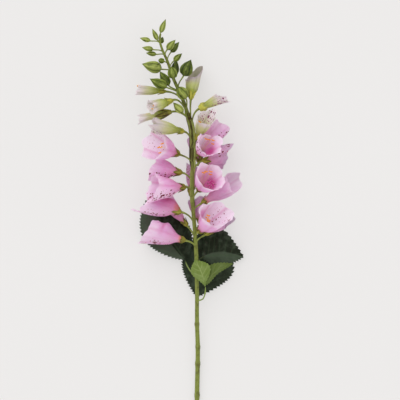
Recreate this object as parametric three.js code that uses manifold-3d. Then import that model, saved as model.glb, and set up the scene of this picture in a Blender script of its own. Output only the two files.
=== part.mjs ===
// A cut foxglove flower spike lying on its back on a table.
// Millimetres. Y runs up the spike from the cut end of the stem, X across it, Z up from the table.
// Each flower is a closed-ended bell in a five-pointed cup of sepals, its calyx, on a thin stalk of the stem.
import * as THREE from "three";
import Module from "manifold-3d";

const wasm = await Module();
wasm.setup();

// Clear space between two pieces that rest on each other.
const SEAT_GAP = 0.3;

// The stem.
const STEM_SIDES = 8;
const STEM_RINGS = 28;
const STEM_RADIUS_CUT = 3.2;
const STEM_RADIUS_FLOWERS = 2.6;
const STEM_RADIUS_TIP = 0.9;
const FLOWERS_START = 240;
const FLOWERS_END = 400;
const STEM_END = 529;
// How finely a height on the stem is found, as a fraction of its length.
const FRACTION_ERROR = 1e-9;
// Rings left by shed leaves, as heights up the stem, and how far they stand out.
const SCAR_HEIGHTS = [38, 81, 104, 135];
const SCAR_HEIGHT_SPREAD = 4;
const SCAR_SWELL = 0.5;
// Even rings nearer to a scar than this give way to the scar's own.
const SCAR_CLEAR = 6;

// The stalks.
const STALK_SIDES = 5;
const STALK_RINGS = 5;
const STALK_RADIUS = 1.0;
const BUD_STALK_RADIUS = 0.8;
const STALK_LEAVING = 0.45;
const STALK_NEARING = 0.28;

// A full-grown bell.
const LOBES = 5;
const BELL_WALL = 0.9;
const NECK_RADIUS = 3.8;
const MOUTH_RADIUS = 17;
const LOBE_LENGTH = 2.2;
const LIP_LENGTH = 10;
const LIP_FLARE = 0.16;
// How much of the lip's length is a slant of the whole mouth, which shortens the bell's other side.
const MOUTH_SLANT = 0.45;
// How far a bell has opened, from neck to mouth, at fractions of its length.
const BELL_OUTLINE = [
  [0, 0],
  [0.18, 0.12],
  [0.42, 0.58],
  [0.72, 0.86],
  [1, 1],
];

// A calyx.
const CALYX_SIDES = 2 * LOBES;
const CALYX_DEPTH = 3.6;
const CALYX_FOOT_RADIUS = 1.8;
const CALYX_WALL = 0.8;
const SEPAL_TIP = 7.5;
const SEPAL_VALLEY = 2.8;
// How far sepals stand off the bell at their tips and in the valleys between them.
const SEPAL_LIFT = [0.8, 0.1];
// A calyx wall's share of its thickness at the foot of the cup.
const CALYX_FOOT_WALL = 0.7;

// Leaves.
const LEAF_THICKNESS = 0.8;
const LEAF_STATIONS = 8;
const LEAF_END_WIDTH = 0.6;
// Under 1, it makes a leaf's outline fuller than a sine wave.
const LEAF_FULLNESS = 0.8;
const PETIOLE_RADIUS = 1.1;

const COLOURS = {
  stem: 0x8fa356,
  bud: 0x7c9640,
  calyx: 0x9aa94c,
  pinkBell: 0xe6a3d0,
  paleBell: 0xdfe0b8,
  darkLeaf: 0x24321f,
  lightLeaf: 0x8fa65a,
};

// Full-grown flowers are modelled with more sides than those that are still opening.
const GROWN = { colour: COLOURS.pinkBell, sides: 3 * LOBES };
const YOUNG = { colour: COLOURS.paleBell, sides: 2 * LOBES };

// The line of the stem: across, up the spike, above the table.
const STEM_LINE = [
  [0, 0, 2.96],
  [0, 34, 3.5],
  [1, 101, 8],
  [0, 135, 11],
  [0, 182, 17],
  [-1, 230, 23],
  [-3, 262, 26.5],
  [-6, 304, 29.5],
  [-6, 358, 30.5],
  [-7, 400, 31],
  [-12, 418, 31.5],
  [-20, 441, 33],
  [-32, 468, 35.5],
  [-40, 491, 37.5],
  [-47, 507, 39],
  [-50, 518, 40],
  [-49, 529, 41],
];

// Full-grown flowers. root: height of the stalk's root on the stem; foot: where the bell's neck starts;
// mouth: middle of its mouth; lip: the side its long lip is on; girth: width against a full-grown bell;
// long: length of the lip against a full-grown one.
const GROWN_FLOWERS = {
  left_1: { root: 350, foot: [-26, 366, 37], mouth: [-56, 377, 55],
    lip: [-0.5, 0.2, -0.8], girth: 1.14, long: 0.7 },
  left_2: { root: 322, foot: [-23, 341, 30], mouth: [-57, 347, 23],
    lip: [0, -1, 0.2], girth: 0.92, long: 0.8 },
  left_3: { root: 312, foot: [-18, 321, 40], mouth: [-59, 320, 54],
    lip: [0, -1, 0], girth: 1.04, long: 0.9 },
  left_4: { root: 266, foot: [-24, 288, 37], mouth: [-65, 297, 26],
    lip: [-0.2, -1, 0], girth: 0.92, long: 2 },
  left_5: { root: 246, foot: [-15, 271, 20], mouth: [-41, 302.5, 10.7],
    lip: [1, 0, 0], girth: 0.56, long: 0.4 },
  left_6: { root: 236, foot: [-19, 250, 31], mouth: [-59, 260, 29],
    lip: [0, -1, 0], girth: 0.94, long: 1.7 },
  right_1: { root: 366, foot: [9, 379, 31], mouth: [31, 403, 17],
    lip: [0.5, -0.85, 0], girth: 0.88, long: 0.6 },
  right_2: { root: 350, foot: [2, 366, 42], mouth: [18, 380, 73],
    lip: [-0.6, -0.8, 0], girth: 0.98, long: 0.5 },
  right_3: { root: 336, foot: [9, 356, 32], mouth: [35, 363, 18],
    lip: [0.7, 0.7, 0], girth: 0.8, long: 1 },
  right_4: { root: 300, foot: [3, 318, 42], mouth: [18, 335, 73],
    lip: [0, -1, 0.3], girth: 1.12, long: 0.4 },
  right_5: { root: 285, foot: [9, 301, 33], mouth: [51, 327, 37],
    lip: [-0.1, 0.7, -0.7], girth: 0.84, long: 1.2 },
  right_6: { root: 246, foot: [3, 262, 38], mouth: [25, 283, 64],
    lip: [1, 0.1, -0.3], girth: 1.08, long: 1.3 },
  right_7: { root: 242, foot: [13, 259, 29], mouth: [40, 281, 22],
    lip: [0.7, 0.3, -0.6], girth: 0.76, long: 0.8 },
  back_1: { root: 346, foot: [3.5, 356, 20], mouth: [-2, 388, 12.7],
    lip: [1, 0, 0], girth: 0.76, long: 0.5 },
  back_2: { root: 304, foot: [-9, 315, 21], mouth: [-1, 346, 12.7],
    lip: [-1, 0, 0], girth: 0.76, long: 0.5 },
  back_3: { root: 262, foot: [5, 273, 18], mouth: [-1, 304, 12.6],
    lip: [1, 0, 0], girth: 0.76, long: 0.5 },
};

// Flowers still opening, near the top of the spike.
const YOUNG_FLOWERS = {
  young_1: { root: 432, foot: [-45, 450, 39], mouth: [-79, 452, 41],
    lip: [0, -1, 0], girth: 0.36, long: 0.6 },
  young_2: { root: 414, foot: [-35, 437, 45], mouth: [-63, 427, 55],
    lip: [-0.3, 0.2, -0.9], girth: 0.45, long: 0.5 },
  young_3: { root: 404, foot: [-38, 422, 36], mouth: [-77, 414, 32],
    lip: [0, -1, 0], girth: 0.3, long: 0.6 },
  young_4: { root: 368, foot: [-20, 396, 50], mouth: [-58, 403, 79],
    lip: [-0.2, -1, 0], girth: 0.64, long: 0.8 },
  young_5: { root: 398, foot: [-8, 442, 38], mouth: [-5, 469, 27],
    lip: [0.7, 0, -0.7], girth: 0.58, long: 2.4 },
  young_6: { root: 396, foot: [6, 428, 40], mouth: [32, 441, 39],
    lip: [0.2, -1, -0.2], girth: 0.45, long: 2 },
  young_7: { root: 366, foot: [0, 388, 45], mouth: [12, 413, 60],
    lip: [0.7, 0.6, -0.3], girth: 0.66, long: 1.4 },
};

// Large buds, each a closed calyx on its own stalk. tip: the bud's point; radius: its widest part.
const LARGE_BUDS = {
  bud_right_1: { root: 496, foot: [-40, 506, 42], tip: [-29, 519, 44], radius: 4.7 },
  bud_left_1: { root: 475, foot: [-48, 480, 37], tip: [-74, 487, 39], radius: 8.1 },
  bud_front_1: { root: 454, foot: [-32, 467, 44], tip: [-34, 483, 46], radius: 6.4 },
  bud_right_2: { root: 450, foot: [-18, 471, 43], tip: [-8, 492, 48], radius: 8.7 },
  bud_left_2: { root: 446, foot: [-38, 458, 41], tip: [-50, 477, 42], radius: 6 },
  bud_left_3: { root: 440, foot: [-41, 455, 50], tip: [-63, 466, 56], radius: 6.8 },
  bud_front_2: { root: 420, foot: [-15, 440, 43], tip: [-25, 456, 47], radius: 7.4 },
};

// Small buds, which are one piece with the stem.
const SMALL_BUDS = [
  { root: 527, foot: [-49, 529, 41], tip: [-42, 547, 42], radius: 3.8 },
  { root: 514, foot: [-53, 519, 40.5], tip: [-60, 534, 42], radius: 3.3 },
  { root: 513, foot: [-63, 518, 39], tip: [-77, 522, 38], radius: 3.3 },
  { root: 511, foot: [-49, 515, 36], tip: [-46, 524, 33], radius: 3.4 },
  { root: 501, foot: [-59, 506, 41], tip: [-74, 509, 42], radius: 3.7 },
  { root: 497, foot: [-55, 500, 36], tip: [-69, 502, 34], radius: 3.3 },
  { root: 488, foot: [-35, 503, 35], tip: [-24, 517, 33], radius: 4.4 },
  { root: 480, foot: [-31, 491, 39], tip: [-20, 501, 40], radius: 4 },
  { root: 485, foot: [-44, 490, 41], tip: [-52, 492, 43], radius: 3.5 },
  { root: 462, foot: [-31, 472, 30], tip: [-28, 494, 27], radius: 5.6 },
  { root: 408, foot: [-19, 421, 41], tip: [-32, 435, 38], radius: 5.2 },
];
// A bud's width against its widest, at fractions of its length.
const BUD_OUTLINE = [
  [0, 0.3],
  [0.12, 0.8],
  [0.35, 1],
  [0.65, 0.72],
  [0.88, 0.28],
  [1, 0.08],
];
const BUD_RIB = 0.08;
// How far a small bud's stalk runs into it.
const BUD_SEAT = 1;

// Leaves. stalk: where the leaf's own stalk leaves the stem, to which side, and the places it runs through;
// blades: the midrib of each blade from base to tip, how far its two halves reach from the midrib at its
// widest, and the fraction of its length where that is.
const LEAVES = {
  leaf_left: {
    colour: COLOURS.darkLeaf,
    stalk: { height: 203, side: [-1, 0, -0.5], line: [[-8, 206.5, 15.5], [-13.5, 215, 13.5], [-16, 223.5, 12]] },
    blades: [
      {
        line: [[-16, 223, 12], [-41, 261, 8], [-66, 306, 1.2]],
        halves: [[-34, -11, -2.5], [24, 19, -4]],
        widest: 0.4,
      },
    ],
  },
  leaf_right: {
    colour: COLOURS.darkLeaf,
    stalk: { height: 223, side: [1, 0, -0.5], line: [[9, 227, 17]] },
    blades: [
      {
        line: [[7, 227, 17], [34, 229, 15], [63, 227, 8]],
        halves: [[-17, 38, -8], [1, -13, -9]],
        widest: 0.5,
      },
    ],
  },
  leaf_low: {
    colour: COLOURS.darkLeaf,
    stalk: { height: 165, side: [-0.2, 0, -1], line: [[-0.5, 169, 6], [0, 173, 3]] },
    blades: [
      {
        line: [[0, 171, 3], [9, 213, 2], [9, 266, 0.6]],
        halves: [[-29, 12, -0.4], [39, -4, -0.4]],
        widest: 0.45,
      },
    ],
  },
  leaf_small: {
    colour: COLOURS.lightLeaf,
    stalk: { height: 167, side: [1, 0, 0.5], line: [[8, 170, 21], [11, 178, 25], [12.5, 189, 27]] },
    blades: [
      {
        line: [[12, 186, 27], [7, 205, 30], [-2, 223, 28]],
        halves: [[-11, -4, -2], [11, 4, -1]],
        widest: 0.4,
      },
      {
        line: [[12, 189, 27], [25, 206, 25], [49, 217, 21]],
        halves: [[-5, 9, -1], [4, -8, -2]],
        widest: 0.4,
      },
    ],
  },
};

function vector(place) {
  return new THREE.Vector3(...place);
}

// The height of a line of [place, value] pairs at a place between them.
function along(outline, place) {
  const next = Math.max(1, outline.findIndex((pair) => pair[0] >= place));
  const [from, low] = outline[next - 1];
  const [to, high] = outline[next];
  return THREE.MathUtils.lerp(low, high, (place - from) / (to - from));
}

function middle(points) {
  const sum = points.reduce((total, point) => total.add(point), new THREE.Vector3());
  return sum.divideScalar(points.length);
}

// A closed surface through rings of points, shut at both ends by a fan to the middle of the end ring.
function skin(rings) {
  const sides = rings[0].length;
  const points = rings.flat();
  const first = points.push(middle(rings[0])) - 1;
  const last = points.push(middle(rings.at(-1))) - 1;
  const triangles = [];
  for (let side = 0; side < sides; side++) {
    const next = (side + 1) % sides;
    for (let ring = 0; ring + 1 < rings.length; ring++) {
      const low = ring * sides;
      const high = low + sides;
      triangles.push([low + side, low + next, high + next], [low + side, high + next, high + side]);
    }
    const top = (rings.length - 1) * sides;
    triangles.push([first, next, side], [last, top + side, top + next]);
  }
  return outwards(points, triangles);
}

// The same triangles turned, if need be, so that they face out.
function outwards(points, triangles) {
  let volume = 0;
  for (const [a, b, c] of triangles) {
    volume += points[a].dot(points[b].clone().cross(points[c]));
  }
  const turned = volume < 0 ? triangles.map(([a, b, c]) => [a, c, b]) : triangles;
  return { points, triangles: turned };
}

function solidOf({ points, triangles }) {
  const vertProperties = new Float32Array(points.flatMap((point) => point.toArray()));
  const triVerts = new Uint32Array(triangles.flat());
  return new wasm.Manifold(new wasm.Mesh({ numProp: 3, vertProperties, triVerts }));
}

function geometryOf({ points, triangles }) {
  const geometry = new THREE.BufferGeometry();
  const places = points.flatMap((point) => point.toArray());
  geometry.setAttribute("position", new THREE.Float32BufferAttribute(places, 3));
  geometry.setIndex(triangles.flat());
  geometry.computeVertexNormals();
  return geometry;
}

function geometryOfSolid(solid) {
  const mesh = solid.getMesh();
  const geometry = new THREE.BufferGeometry();
  geometry.setAttribute("position", new THREE.BufferAttribute(new Float32Array(mesh.vertProperties), 3));
  geometry.setIndex(Array.from(mesh.triVerts));
  geometry.computeVertexNormals();
  return geometry;
}

function material(colour) {
  const finish = { color: colour, roughness: 0.7, metalness: 0, side: THREE.DoubleSide };
  return new THREE.MeshStandardMaterial(finish);
}

function meshOf(name, geometry, colour) {
  const mesh = new THREE.Mesh(geometry, material(colour));
  mesh.name = name;
  return mesh;
}

// Points of a circle that faces forward. Its first point is turned from across by a share of a side.
function circle(centre, forward, across, radius, sides, turn) {
  const other = forward.clone().cross(across);
  return Array.from({ length: sides }, (_, side) => {
    const angle = ((side + turn) / sides) * 2 * Math.PI;
    const point = centre.clone().addScaledVector(across, radius * Math.cos(angle));
    return point.addScaledVector(other, radius * Math.sin(angle));
  });
}

// Rings of a tube along a curve. radiusAt gives its radius at a fraction of its length.
function tubeRings(curve, ringCount, sides, radiusAt) {
  const rings = [];
  let across = new THREE.Vector3(1, 0.05, 0.1);
  for (let ring = 0; ring < ringCount; ring++) {
    const fraction = ring / (ringCount - 1);
    const forward = curve.getTangent(fraction);
    across = across.clone().addScaledVector(forward, -across.dot(forward)).normalize();
    rings.push(circle(curve.getPoint(fraction), forward, across, radiusAt(fraction), sides, 0));
  }
  return rings;
}

const stemCurve = new THREE.CatmullRomCurve3(STEM_LINE.map(vector), false, "centripetal");

// The fraction of the stem's curve that lies at a height up the spike, found by halving.
function stemFraction(height) {
  let low = 0;
  let high = 1;
  while (high - low > FRACTION_ERROR) {
    const half = (low + high) / 2;
    if (stemCurve.getPoint(half).y < height) low = half;
    else high = half;
  }
  return low;
}

function stemRadius(height) {
  const spread = (scar) => (height - scar) / SCAR_HEIGHT_SPREAD;
  const swell = SCAR_HEIGHTS.reduce((sum, scar) => sum + SCAR_SWELL * Math.exp(-(spread(scar) ** 2)), 0);
  const bare = along(
    [
      [0, STEM_RADIUS_CUT],
      [FLOWERS_START, STEM_RADIUS_FLOWERS],
      [FLOWERS_END, STEM_RADIUS_FLOWERS],
      [STEM_END, STEM_RADIUS_TIP],
    ],
    height,
  );
  return bare + swell;
}

// Rings of the stem, closer together where a scar makes it swell.
function stemRings() {
  const even = Array.from({ length: STEM_RINGS }, (_, ring) => (ring / (STEM_RINGS - 1)) * STEM_END);
  const scars = SCAR_HEIGHTS.flatMap((scar) => [scar - SCAR_HEIGHT_SPREAD, scar, scar + SCAR_HEIGHT_SPREAD]);
  const clear = even.filter((height) => SCAR_HEIGHTS.every((scar) => Math.abs(height - scar) > SCAR_CLEAR));
  const heights = [...clear, ...scars].sort((a, b) => a - b);
  const fractions = heights.map((height) => stemFraction(height));
  const rings = [];
  let across = new THREE.Vector3(1, 0, 0);
  heights.forEach((height, index) => {
    const centre = stemCurve.getPoint(fractions[index]);
    const forward = index === 0 ? new THREE.Vector3(0, 1, 0) : stemCurve.getTangent(fractions[index]);
    across = across.clone().addScaledVector(forward, -across.dot(forward)).normalize();
    rings.push(circle(centre, forward, across, stemRadius(height), STEM_SIDES, 0.5));
  });
  return rings;
}

// A stalk from the middle of the stem to a place, arriving in a direction.
function stalk(root, end, arriving, radius) {
  const fraction = stemFraction(root);
  const start = stemCurve.getPoint(fraction);
  const span = start.distanceTo(end);
  const leaving = start.clone().addScaledVector(stemCurve.getTangent(fraction), span * STALK_LEAVING);
  const nearing = end.clone().addScaledVector(arriving, -span * STALK_NEARING);
  const curve = new THREE.CubicBezierCurve3(start, leaving, nearing, end);
  return solidOf(skin(tubeRings(curve, STALK_RINGS, STALK_SIDES, () => radius)));
}

// Where a stalk meets the calyx of a flower.
function flowerSeat(flower) {
  const foot = vector(flower.foot);
  const forward = vector(flower.mouth).sub(foot).normalize();
  return { end: foot.addScaledVector(forward, -CALYX_DEPTH - SEAT_GAP), forward };
}

// Rings of a bud that points up its own Z axis, its widest part of the given radius.
function budRings(length, radius) {
  return BUD_OUTLINE.map(([place, width]) =>
    Array.from({ length: CALYX_SIDES }, (_, side) => {
      const angle = (side / CALYX_SIDES) * 2 * Math.PI;
      const rib = 1 + BUD_RIB * Math.cos(LOBES * angle);
      const out = radius * width * rib;
      return new THREE.Vector3(out * Math.cos(angle), out * Math.sin(angle), place * length);
    }),
  );
}

// The placing of a piece that starts at foot, points its Z axis at a place and its X axis to one side.
function aimed(foot, target, side) {
  const forward = vector(target).sub(vector(foot)).normalize();
  const across = vector(side);
  across.addScaledVector(forward, -across.dot(forward)).normalize();
  const turn = new THREE.Matrix4().makeBasis(across, forward.clone().cross(across), forward);
  return turn.setPosition(vector(foot));
}

function placed(mesh, matrix) {
  mesh.applyMatrix4(matrix);
  return mesh;
}

function budLength(bud) {
  return vector(bud.tip).distanceTo(vector(bud.foot));
}

// A small bud with its stalk, to be joined to the stem.
function smallBud(bud) {
  const matrix = aimed(bud.foot, bud.tip, [0, 0, 1]);
  const rings = budRings(budLength(bud), bud.radius);
  rings.flat().forEach((point) => point.applyMatrix4(matrix));
  const forward = vector(bud.tip).sub(vector(bud.foot)).normalize();
  const inside = vector(bud.foot).addScaledVector(forward, BUD_SEAT);
  return [solidOf(skin(rings)), stalk(bud.root, inside, forward, BUD_STALK_RADIUS)];
}

function buildStem() {
  const parts = [solidOf(skin(stemRings()))];
  for (const flower of [...Object.values(GROWN_FLOWERS), ...Object.values(YOUNG_FLOWERS)]) {
    const { end, forward } = flowerSeat(flower);
    parts.push(stalk(flower.root, end, forward, STALK_RADIUS));
  }
  for (const bud of Object.values(LARGE_BUDS)) {
    const forward = vector(bud.tip).sub(vector(bud.foot)).normalize();
    const end = vector(bud.foot).addScaledVector(forward, -SEAT_GAP);
    parts.push(stalk(bud.root, end, forward, BUD_STALK_RADIUS));
  }
  for (const bud of SMALL_BUDS) {
    parts.push(...smallBud(bud));
  }
  return meshOf("stem", geometryOfSolid(wasm.Manifold.union(parts)), COLOURS.stem);
}

function bellRadius(fraction, girth) {
  const neck = NECK_RADIUS * Math.sqrt(girth);
  return neck + (MOUTH_RADIUS * girth - neck) * along(BELL_OUTLINE, fraction);
}

// One point of a bell, at a fraction of its length and an angle from its long lip, set in by a depth.
function bellPoint(flower, length, fraction, angle, depth) {
  const lip = Math.max(0, Math.cos(angle)) ** 2;
  const open = fraction ** 4;
  const reach = LIP_LENGTH * flower.long * (MOUTH_SLANT * Math.cos(angle) + (1 - MOUTH_SLANT) * lip);
  const edge = open * flower.girth * (reach + LOBE_LENGTH * Math.cos(LOBES * angle));
  const out = bellRadius(fraction, flower.girth) * (1 + open * LIP_FLARE * lip) - depth;
  return new THREE.Vector3(out * Math.cos(angle), out * Math.sin(angle), fraction * length + edge);
}

function buildBell(name, flower, { colour, sides }) {
  const length = vector(flower.mouth).distanceTo(vector(flower.foot));
  const ring = (fraction, depth) =>
    Array.from({ length: sides }, (_, side) =>
      bellPoint(flower, length, fraction, (side / sides) * 2 * Math.PI, depth),
    );
  const outer = BELL_OUTLINE.map(([fraction]) => ring(fraction, 0));
  const inner = BELL_OUTLINE.slice(1).map(([fraction]) => ring(fraction, BELL_WALL));
  const floor = ring(0, BELL_WALL).map((point) => point.setZ(point.z + BELL_WALL));
  const geometry = geometryOf(skin([...outer, ...inner.reverse(), floor]));
  return placed(meshOf(`bell_${name}`, geometry, colour), aimed(flower.foot, flower.mouth, flower.lip));
}

// A cup of five pointed sepals that clears the neck of its bell all round.
function buildCalyx(name, flower) {
  const length = vector(flower.mouth).distanceTo(vector(flower.foot));
  const clear = (height) => {
    const fraction = Math.max(0, height) / length;
    return (bellRadius(fraction, flower.girth) + SEAT_GAP) / Math.cos(Math.PI / CALYX_SIDES);
  };
  const ring = (heights, radii) =>
    Array.from({ length: CALYX_SIDES }, (_, side) => {
      const angle = (side / CALYX_SIDES) * 2 * Math.PI;
      const out = radii[side % 2];
      return new THREE.Vector3(out * Math.cos(angle), out * Math.sin(angle), heights[side % 2]);
    });
  const even = (value) => [value, value];
  const edge = [SEPAL_TIP, SEPAL_VALLEY];
  const edgeClear = edge.map((height, side) => clear(height) + SEPAL_LIFT[side]);
  const rings = [
    ring(even(-CALYX_DEPTH), even(CALYX_FOOT_RADIUS)),
    ring(even(-SEAT_GAP - CALYX_WALL), even(clear(0) + CALYX_WALL * CALYX_FOOT_WALL)),
    ring(edge, edgeClear.map((radius) => radius + CALYX_WALL)),
    ring(edge, edgeClear),
    ring(even(-SEAT_GAP), even(clear(0))),
  ];
  const calyx = meshOf(`calyx_${name}`, geometryOf(skin(rings)), COLOURS.calyx);
  return placed(calyx, aimed(flower.foot, flower.mouth, flower.lip));
}

function buildBud(name, bud) {
  const mesh = meshOf(name, geometryOf(skin(budRings(budLength(bud), bud.radius))), COLOURS.bud);
  return placed(mesh, aimed(bud.foot, bud.tip, [0, 0, 1]));
}

// A blade of leaf, thin and with smooth edges.
function blade({ line, halves, widest }) {
  const midrib = new THREE.CatmullRomCurve3(line.map(vector), false, "centripetal");
  const rings = [];
  for (let station = 0; station < LEAF_STATIONS; station++) {
    const fraction = station / (LEAF_STATIONS - 1);
    const centre = midrib.getPoint(fraction);
    const share = leafWidth(fraction, widest);
    const [left, right] = halves.map((widestReach) => {
      const reach = vector(widestReach);
      return reach.multiplyScalar(Math.max(share, LEAF_END_WIDTH / reach.length()));
    });
    const across = right.clone().sub(left).normalize();
    const up = across.cross(midrib.getTangent(fraction)).normalize().multiplyScalar(LEAF_THICKNESS / 2);
    if (up.z < 0) up.negate();
    const half = (reach) => reach.clone().multiplyScalar(0.5);
    const row = [left, half(left), new THREE.Vector3(), half(right), right];
    const top = row.map((reach) => centre.clone().add(reach).add(up));
    const bottom = row.map((reach) => centre.clone().add(reach).sub(up)).reverse();
    rings.push([...top, ...bottom]);
  }
  return solidOf(skin(rings));
}

// A leaf's width against its widest, at a fraction of its length: round at the base, pointed at the tip.
function leafWidth(fraction, widest) {
  const bulge = Math.log(0.5) / Math.log(widest);
  return Math.sin(Math.PI * fraction ** bulge) ** LEAF_FULLNESS;
}

// A leaf's own stalk, from one side of the stem at a height, through the places of a line.
function petiole({ height, side, line }) {
  const root = stemCurve.getPoint(stemFraction(height));
  const out = vector(side).normalize();
  const seat = root.clone().addScaledVector(out, stemRadius(height) + SEAT_GAP);
  const clear = seat.clone().addScaledVector(out, PETIOLE_RADIUS);
  const curve = new THREE.CatmullRomCurve3([seat, clear, ...line.map(vector)], false, "centripetal");
  return solidOf(skin(tubeRings(curve, STALK_RINGS, STALK_SIDES, () => PETIOLE_RADIUS)));
}

function buildLeaf(name, { colour, stalk: own, blades }) {
  const solids = [petiole(own), ...blades.map(blade)];
  return meshOf(name, geometryOfSolid(wasm.Manifold.union(solids)), colour);
}

function buildFlowers(flowers, kind) {
  return Object.entries(flowers).flatMap(([name, flower]) => [
    buildCalyx(name, flower),
    buildBell(name, flower, kind),
  ]);
}

// Sets the spike down on the table with the middle of its outline over the origin.
function settle(spike) {
  const box = new THREE.Box3().setFromObject(spike, true);
  const middle = box.getCenter(new THREE.Vector3());
  spike.position.set(-middle.x, -middle.y, -box.min.z);
  return spike;
}

const spike = new THREE.Group();
spike.name = "foxglove_spike";
spike.add(buildStem());
spike.add(...buildFlowers(GROWN_FLOWERS, GROWN));
spike.add(...buildFlowers(YOUNG_FLOWERS, YOUNG));
spike.add(...Object.entries(LARGE_BUDS).map(([name, bud]) => buildBud(name, bud)));
spike.add(...Object.entries(LEAVES).map(([name, leaf]) => buildLeaf(name, leaf)));

export default settle(spike);
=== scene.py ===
"""The finished look of a cut foxglove spike that lies on its back on a table.

Sizes are in millimetres, and meshes are made in metres. Y runs up the spike, X across it and Z up from the
table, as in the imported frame. Every bell, cup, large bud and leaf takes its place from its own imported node.
"""

import logging
import math
from dataclasses import dataclass, field
from enum import Enum
from functools import cache

import bmesh
import bpy
import numpy as np
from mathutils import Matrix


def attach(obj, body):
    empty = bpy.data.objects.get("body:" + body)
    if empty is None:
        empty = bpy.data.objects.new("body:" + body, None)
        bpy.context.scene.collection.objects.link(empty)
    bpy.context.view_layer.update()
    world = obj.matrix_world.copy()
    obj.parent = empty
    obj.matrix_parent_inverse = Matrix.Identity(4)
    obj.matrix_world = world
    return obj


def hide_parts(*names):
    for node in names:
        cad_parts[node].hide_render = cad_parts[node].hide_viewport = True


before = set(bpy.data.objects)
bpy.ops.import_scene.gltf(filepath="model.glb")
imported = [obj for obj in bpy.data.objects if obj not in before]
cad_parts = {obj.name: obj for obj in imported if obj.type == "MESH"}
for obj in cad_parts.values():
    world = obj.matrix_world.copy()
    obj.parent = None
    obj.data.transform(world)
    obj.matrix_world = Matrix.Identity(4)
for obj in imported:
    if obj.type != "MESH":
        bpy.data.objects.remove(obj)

Array = np.ndarray
Place = tuple[float, float, float]
Colour = tuple[float, float, float, float]
Socket = bpy.types.NodeSocket
Colours = tuple[Socket | Colour, Socket | Colour]
Paint = dict[str, Array | float]
Pieces = list[tuple[bpy.types.Object, str]]

MM = 0.001
LOBES = 5
FULL_TURN = 2 * math.pi
UP = np.array([0.0, 0.0, 1.0])
LOG = logging.getLogger("foxglove")


def colour(red: float, green: float, blue: float) -> Colour:
    """Turns a display colour into the linear one that shaders take.

    Args:
        red, green, blue: The display colour, each from 0 to 255.

    Returns:
        The linear colour with full alpha.
    """
    brightest, low_end = 255, 0.04045
    levels = [level / brightest for level in (red, green, blue)]
    linear = [v / 12.92 if v <= low_end else ((v + 0.055) / 1.055) ** 2.4 for v in levels]
    return (linear[0], linear[1], linear[2], 1.0)


def unit(vector: Array) -> Array:
    """Returns a vector, or rows of vectors, at length 1."""
    return vector / np.linalg.norm(vector, axis=-1, keepdims=True)


def fade(low: float, high: float, value: Array) -> Array:
    """Returns 0 below low, 1 above high and a smooth rise between them."""
    share = np.clip((value - low) / (high - low), 0, 1)
    return share * share * (3 - 2 * share)


def hill(value: Array, middle: float, spread: float) -> Array:
    """Returns 1 at the middle and a smooth fall to 0 on both sides of it."""
    return np.exp(-(((value - middle) / spread) ** 2))


def from_whole(value: Array) -> Array:
    """Returns 0 at whole numbers and 1 halfway between them."""
    return np.abs((value + 0.5) % 1 - 0.5) * 2


def round_turn(columns: int) -> Array:
    """Returns a row of evenly spaced angles that go once round."""
    return (np.arange(columns) / columns * FULL_TURN)[None]


def round_axis(out: Array, angle: Array, high: Array) -> Array:
    """Returns places by their distance from the Z axis, their angle round it and their height along it."""
    return np.stack(np.broadcast_arrays(out * np.cos(angle), out * np.sin(angle), high), axis=-1)


def lengthwise(angle: Array, run: Array) -> dict[str, Array]:
    """Returns the figures that lengthwise streaks are drawn from, at angles round and lengths along."""
    flat = 0 * (angle + run)
    return {"turn_cos": np.cos(angle) + flat, "turn_sin": np.sin(angle) + flat, "run": run + flat}


def smooth(pairs: list[tuple[float, float]], value: Array) -> Array:
    """Follows an outline of (place, height) pairs smoothly, without overshooting it.

    Args:
        pairs: The outline's points, in order of place.
        value: The places at which to read it.

    Returns:
        The outline's heights there.
    """
    places, heights = (np.array(side, float) for side in zip(*pairs))
    steps = np.diff(places)
    slopes = np.diff(heights) / steps
    bends = np.concatenate([[slopes[0]], np.zeros(len(slopes) - 1), [slopes[-1]]])
    same_way = slopes[1:] * slopes[:-1] > 0
    both = slopes[1:] + slopes[:-1]
    bends[1:-1][same_way] = (2 * slopes[1:] * slopes[:-1] / np.where(both == 0, 1, both))[same_way]
    inside = np.clip(value, places[0], places[-1])
    index = np.clip(np.searchsorted(places, inside, side="right") - 1, 0, len(steps) - 1)
    share = (inside - places[index]) / steps[index]
    start, end = heights[index], heights[index + 1]
    rise = bends[index] * steps[index]
    settle = bends[index + 1] * steps[index]
    return (
        start * (1 + 2 * share) * (1 - share) ** 2
        + rise * share * (1 - share) ** 2
        + end * share**2 * (3 - 2 * share)
        + settle * share**2 * (share - 1)
    )


class Ripple:
    """A soft waviness round an opening, the same on every run: some waves laid over each other."""

    WAVES = 5

    def __init__(self, seed: int, fewest: int, most: int) -> None:
        """Draws the waves.

        Args:
            seed: Which waviness to draw.
            fewest, most: The fewest and most crests in one turn.
        """
        chance = np.random.default_rng(seed)
        self.turns = chance.integers(fewest, most + 1, self.WAVES)
        self.starts = chance.uniform(0, FULL_TURN, self.WAVES)
        self.twists = chance.uniform(-2.5, 2.5, self.WAVES)
        self.sizes = chance.uniform(0.5, 1, self.WAVES)
        self.sizes /= self.sizes.sum()

    def at(self, along: Array, angle: Array) -> Array:
        """Returns the waviness, from -1 to 1, at places along and angles round."""
        waves = zip(self.turns, self.starts, self.twists, self.sizes)
        return sum(size * np.sin(turn * angle + start + twist * along) for turn, start, twist, size in waves)


# ---- meshes ----


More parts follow.
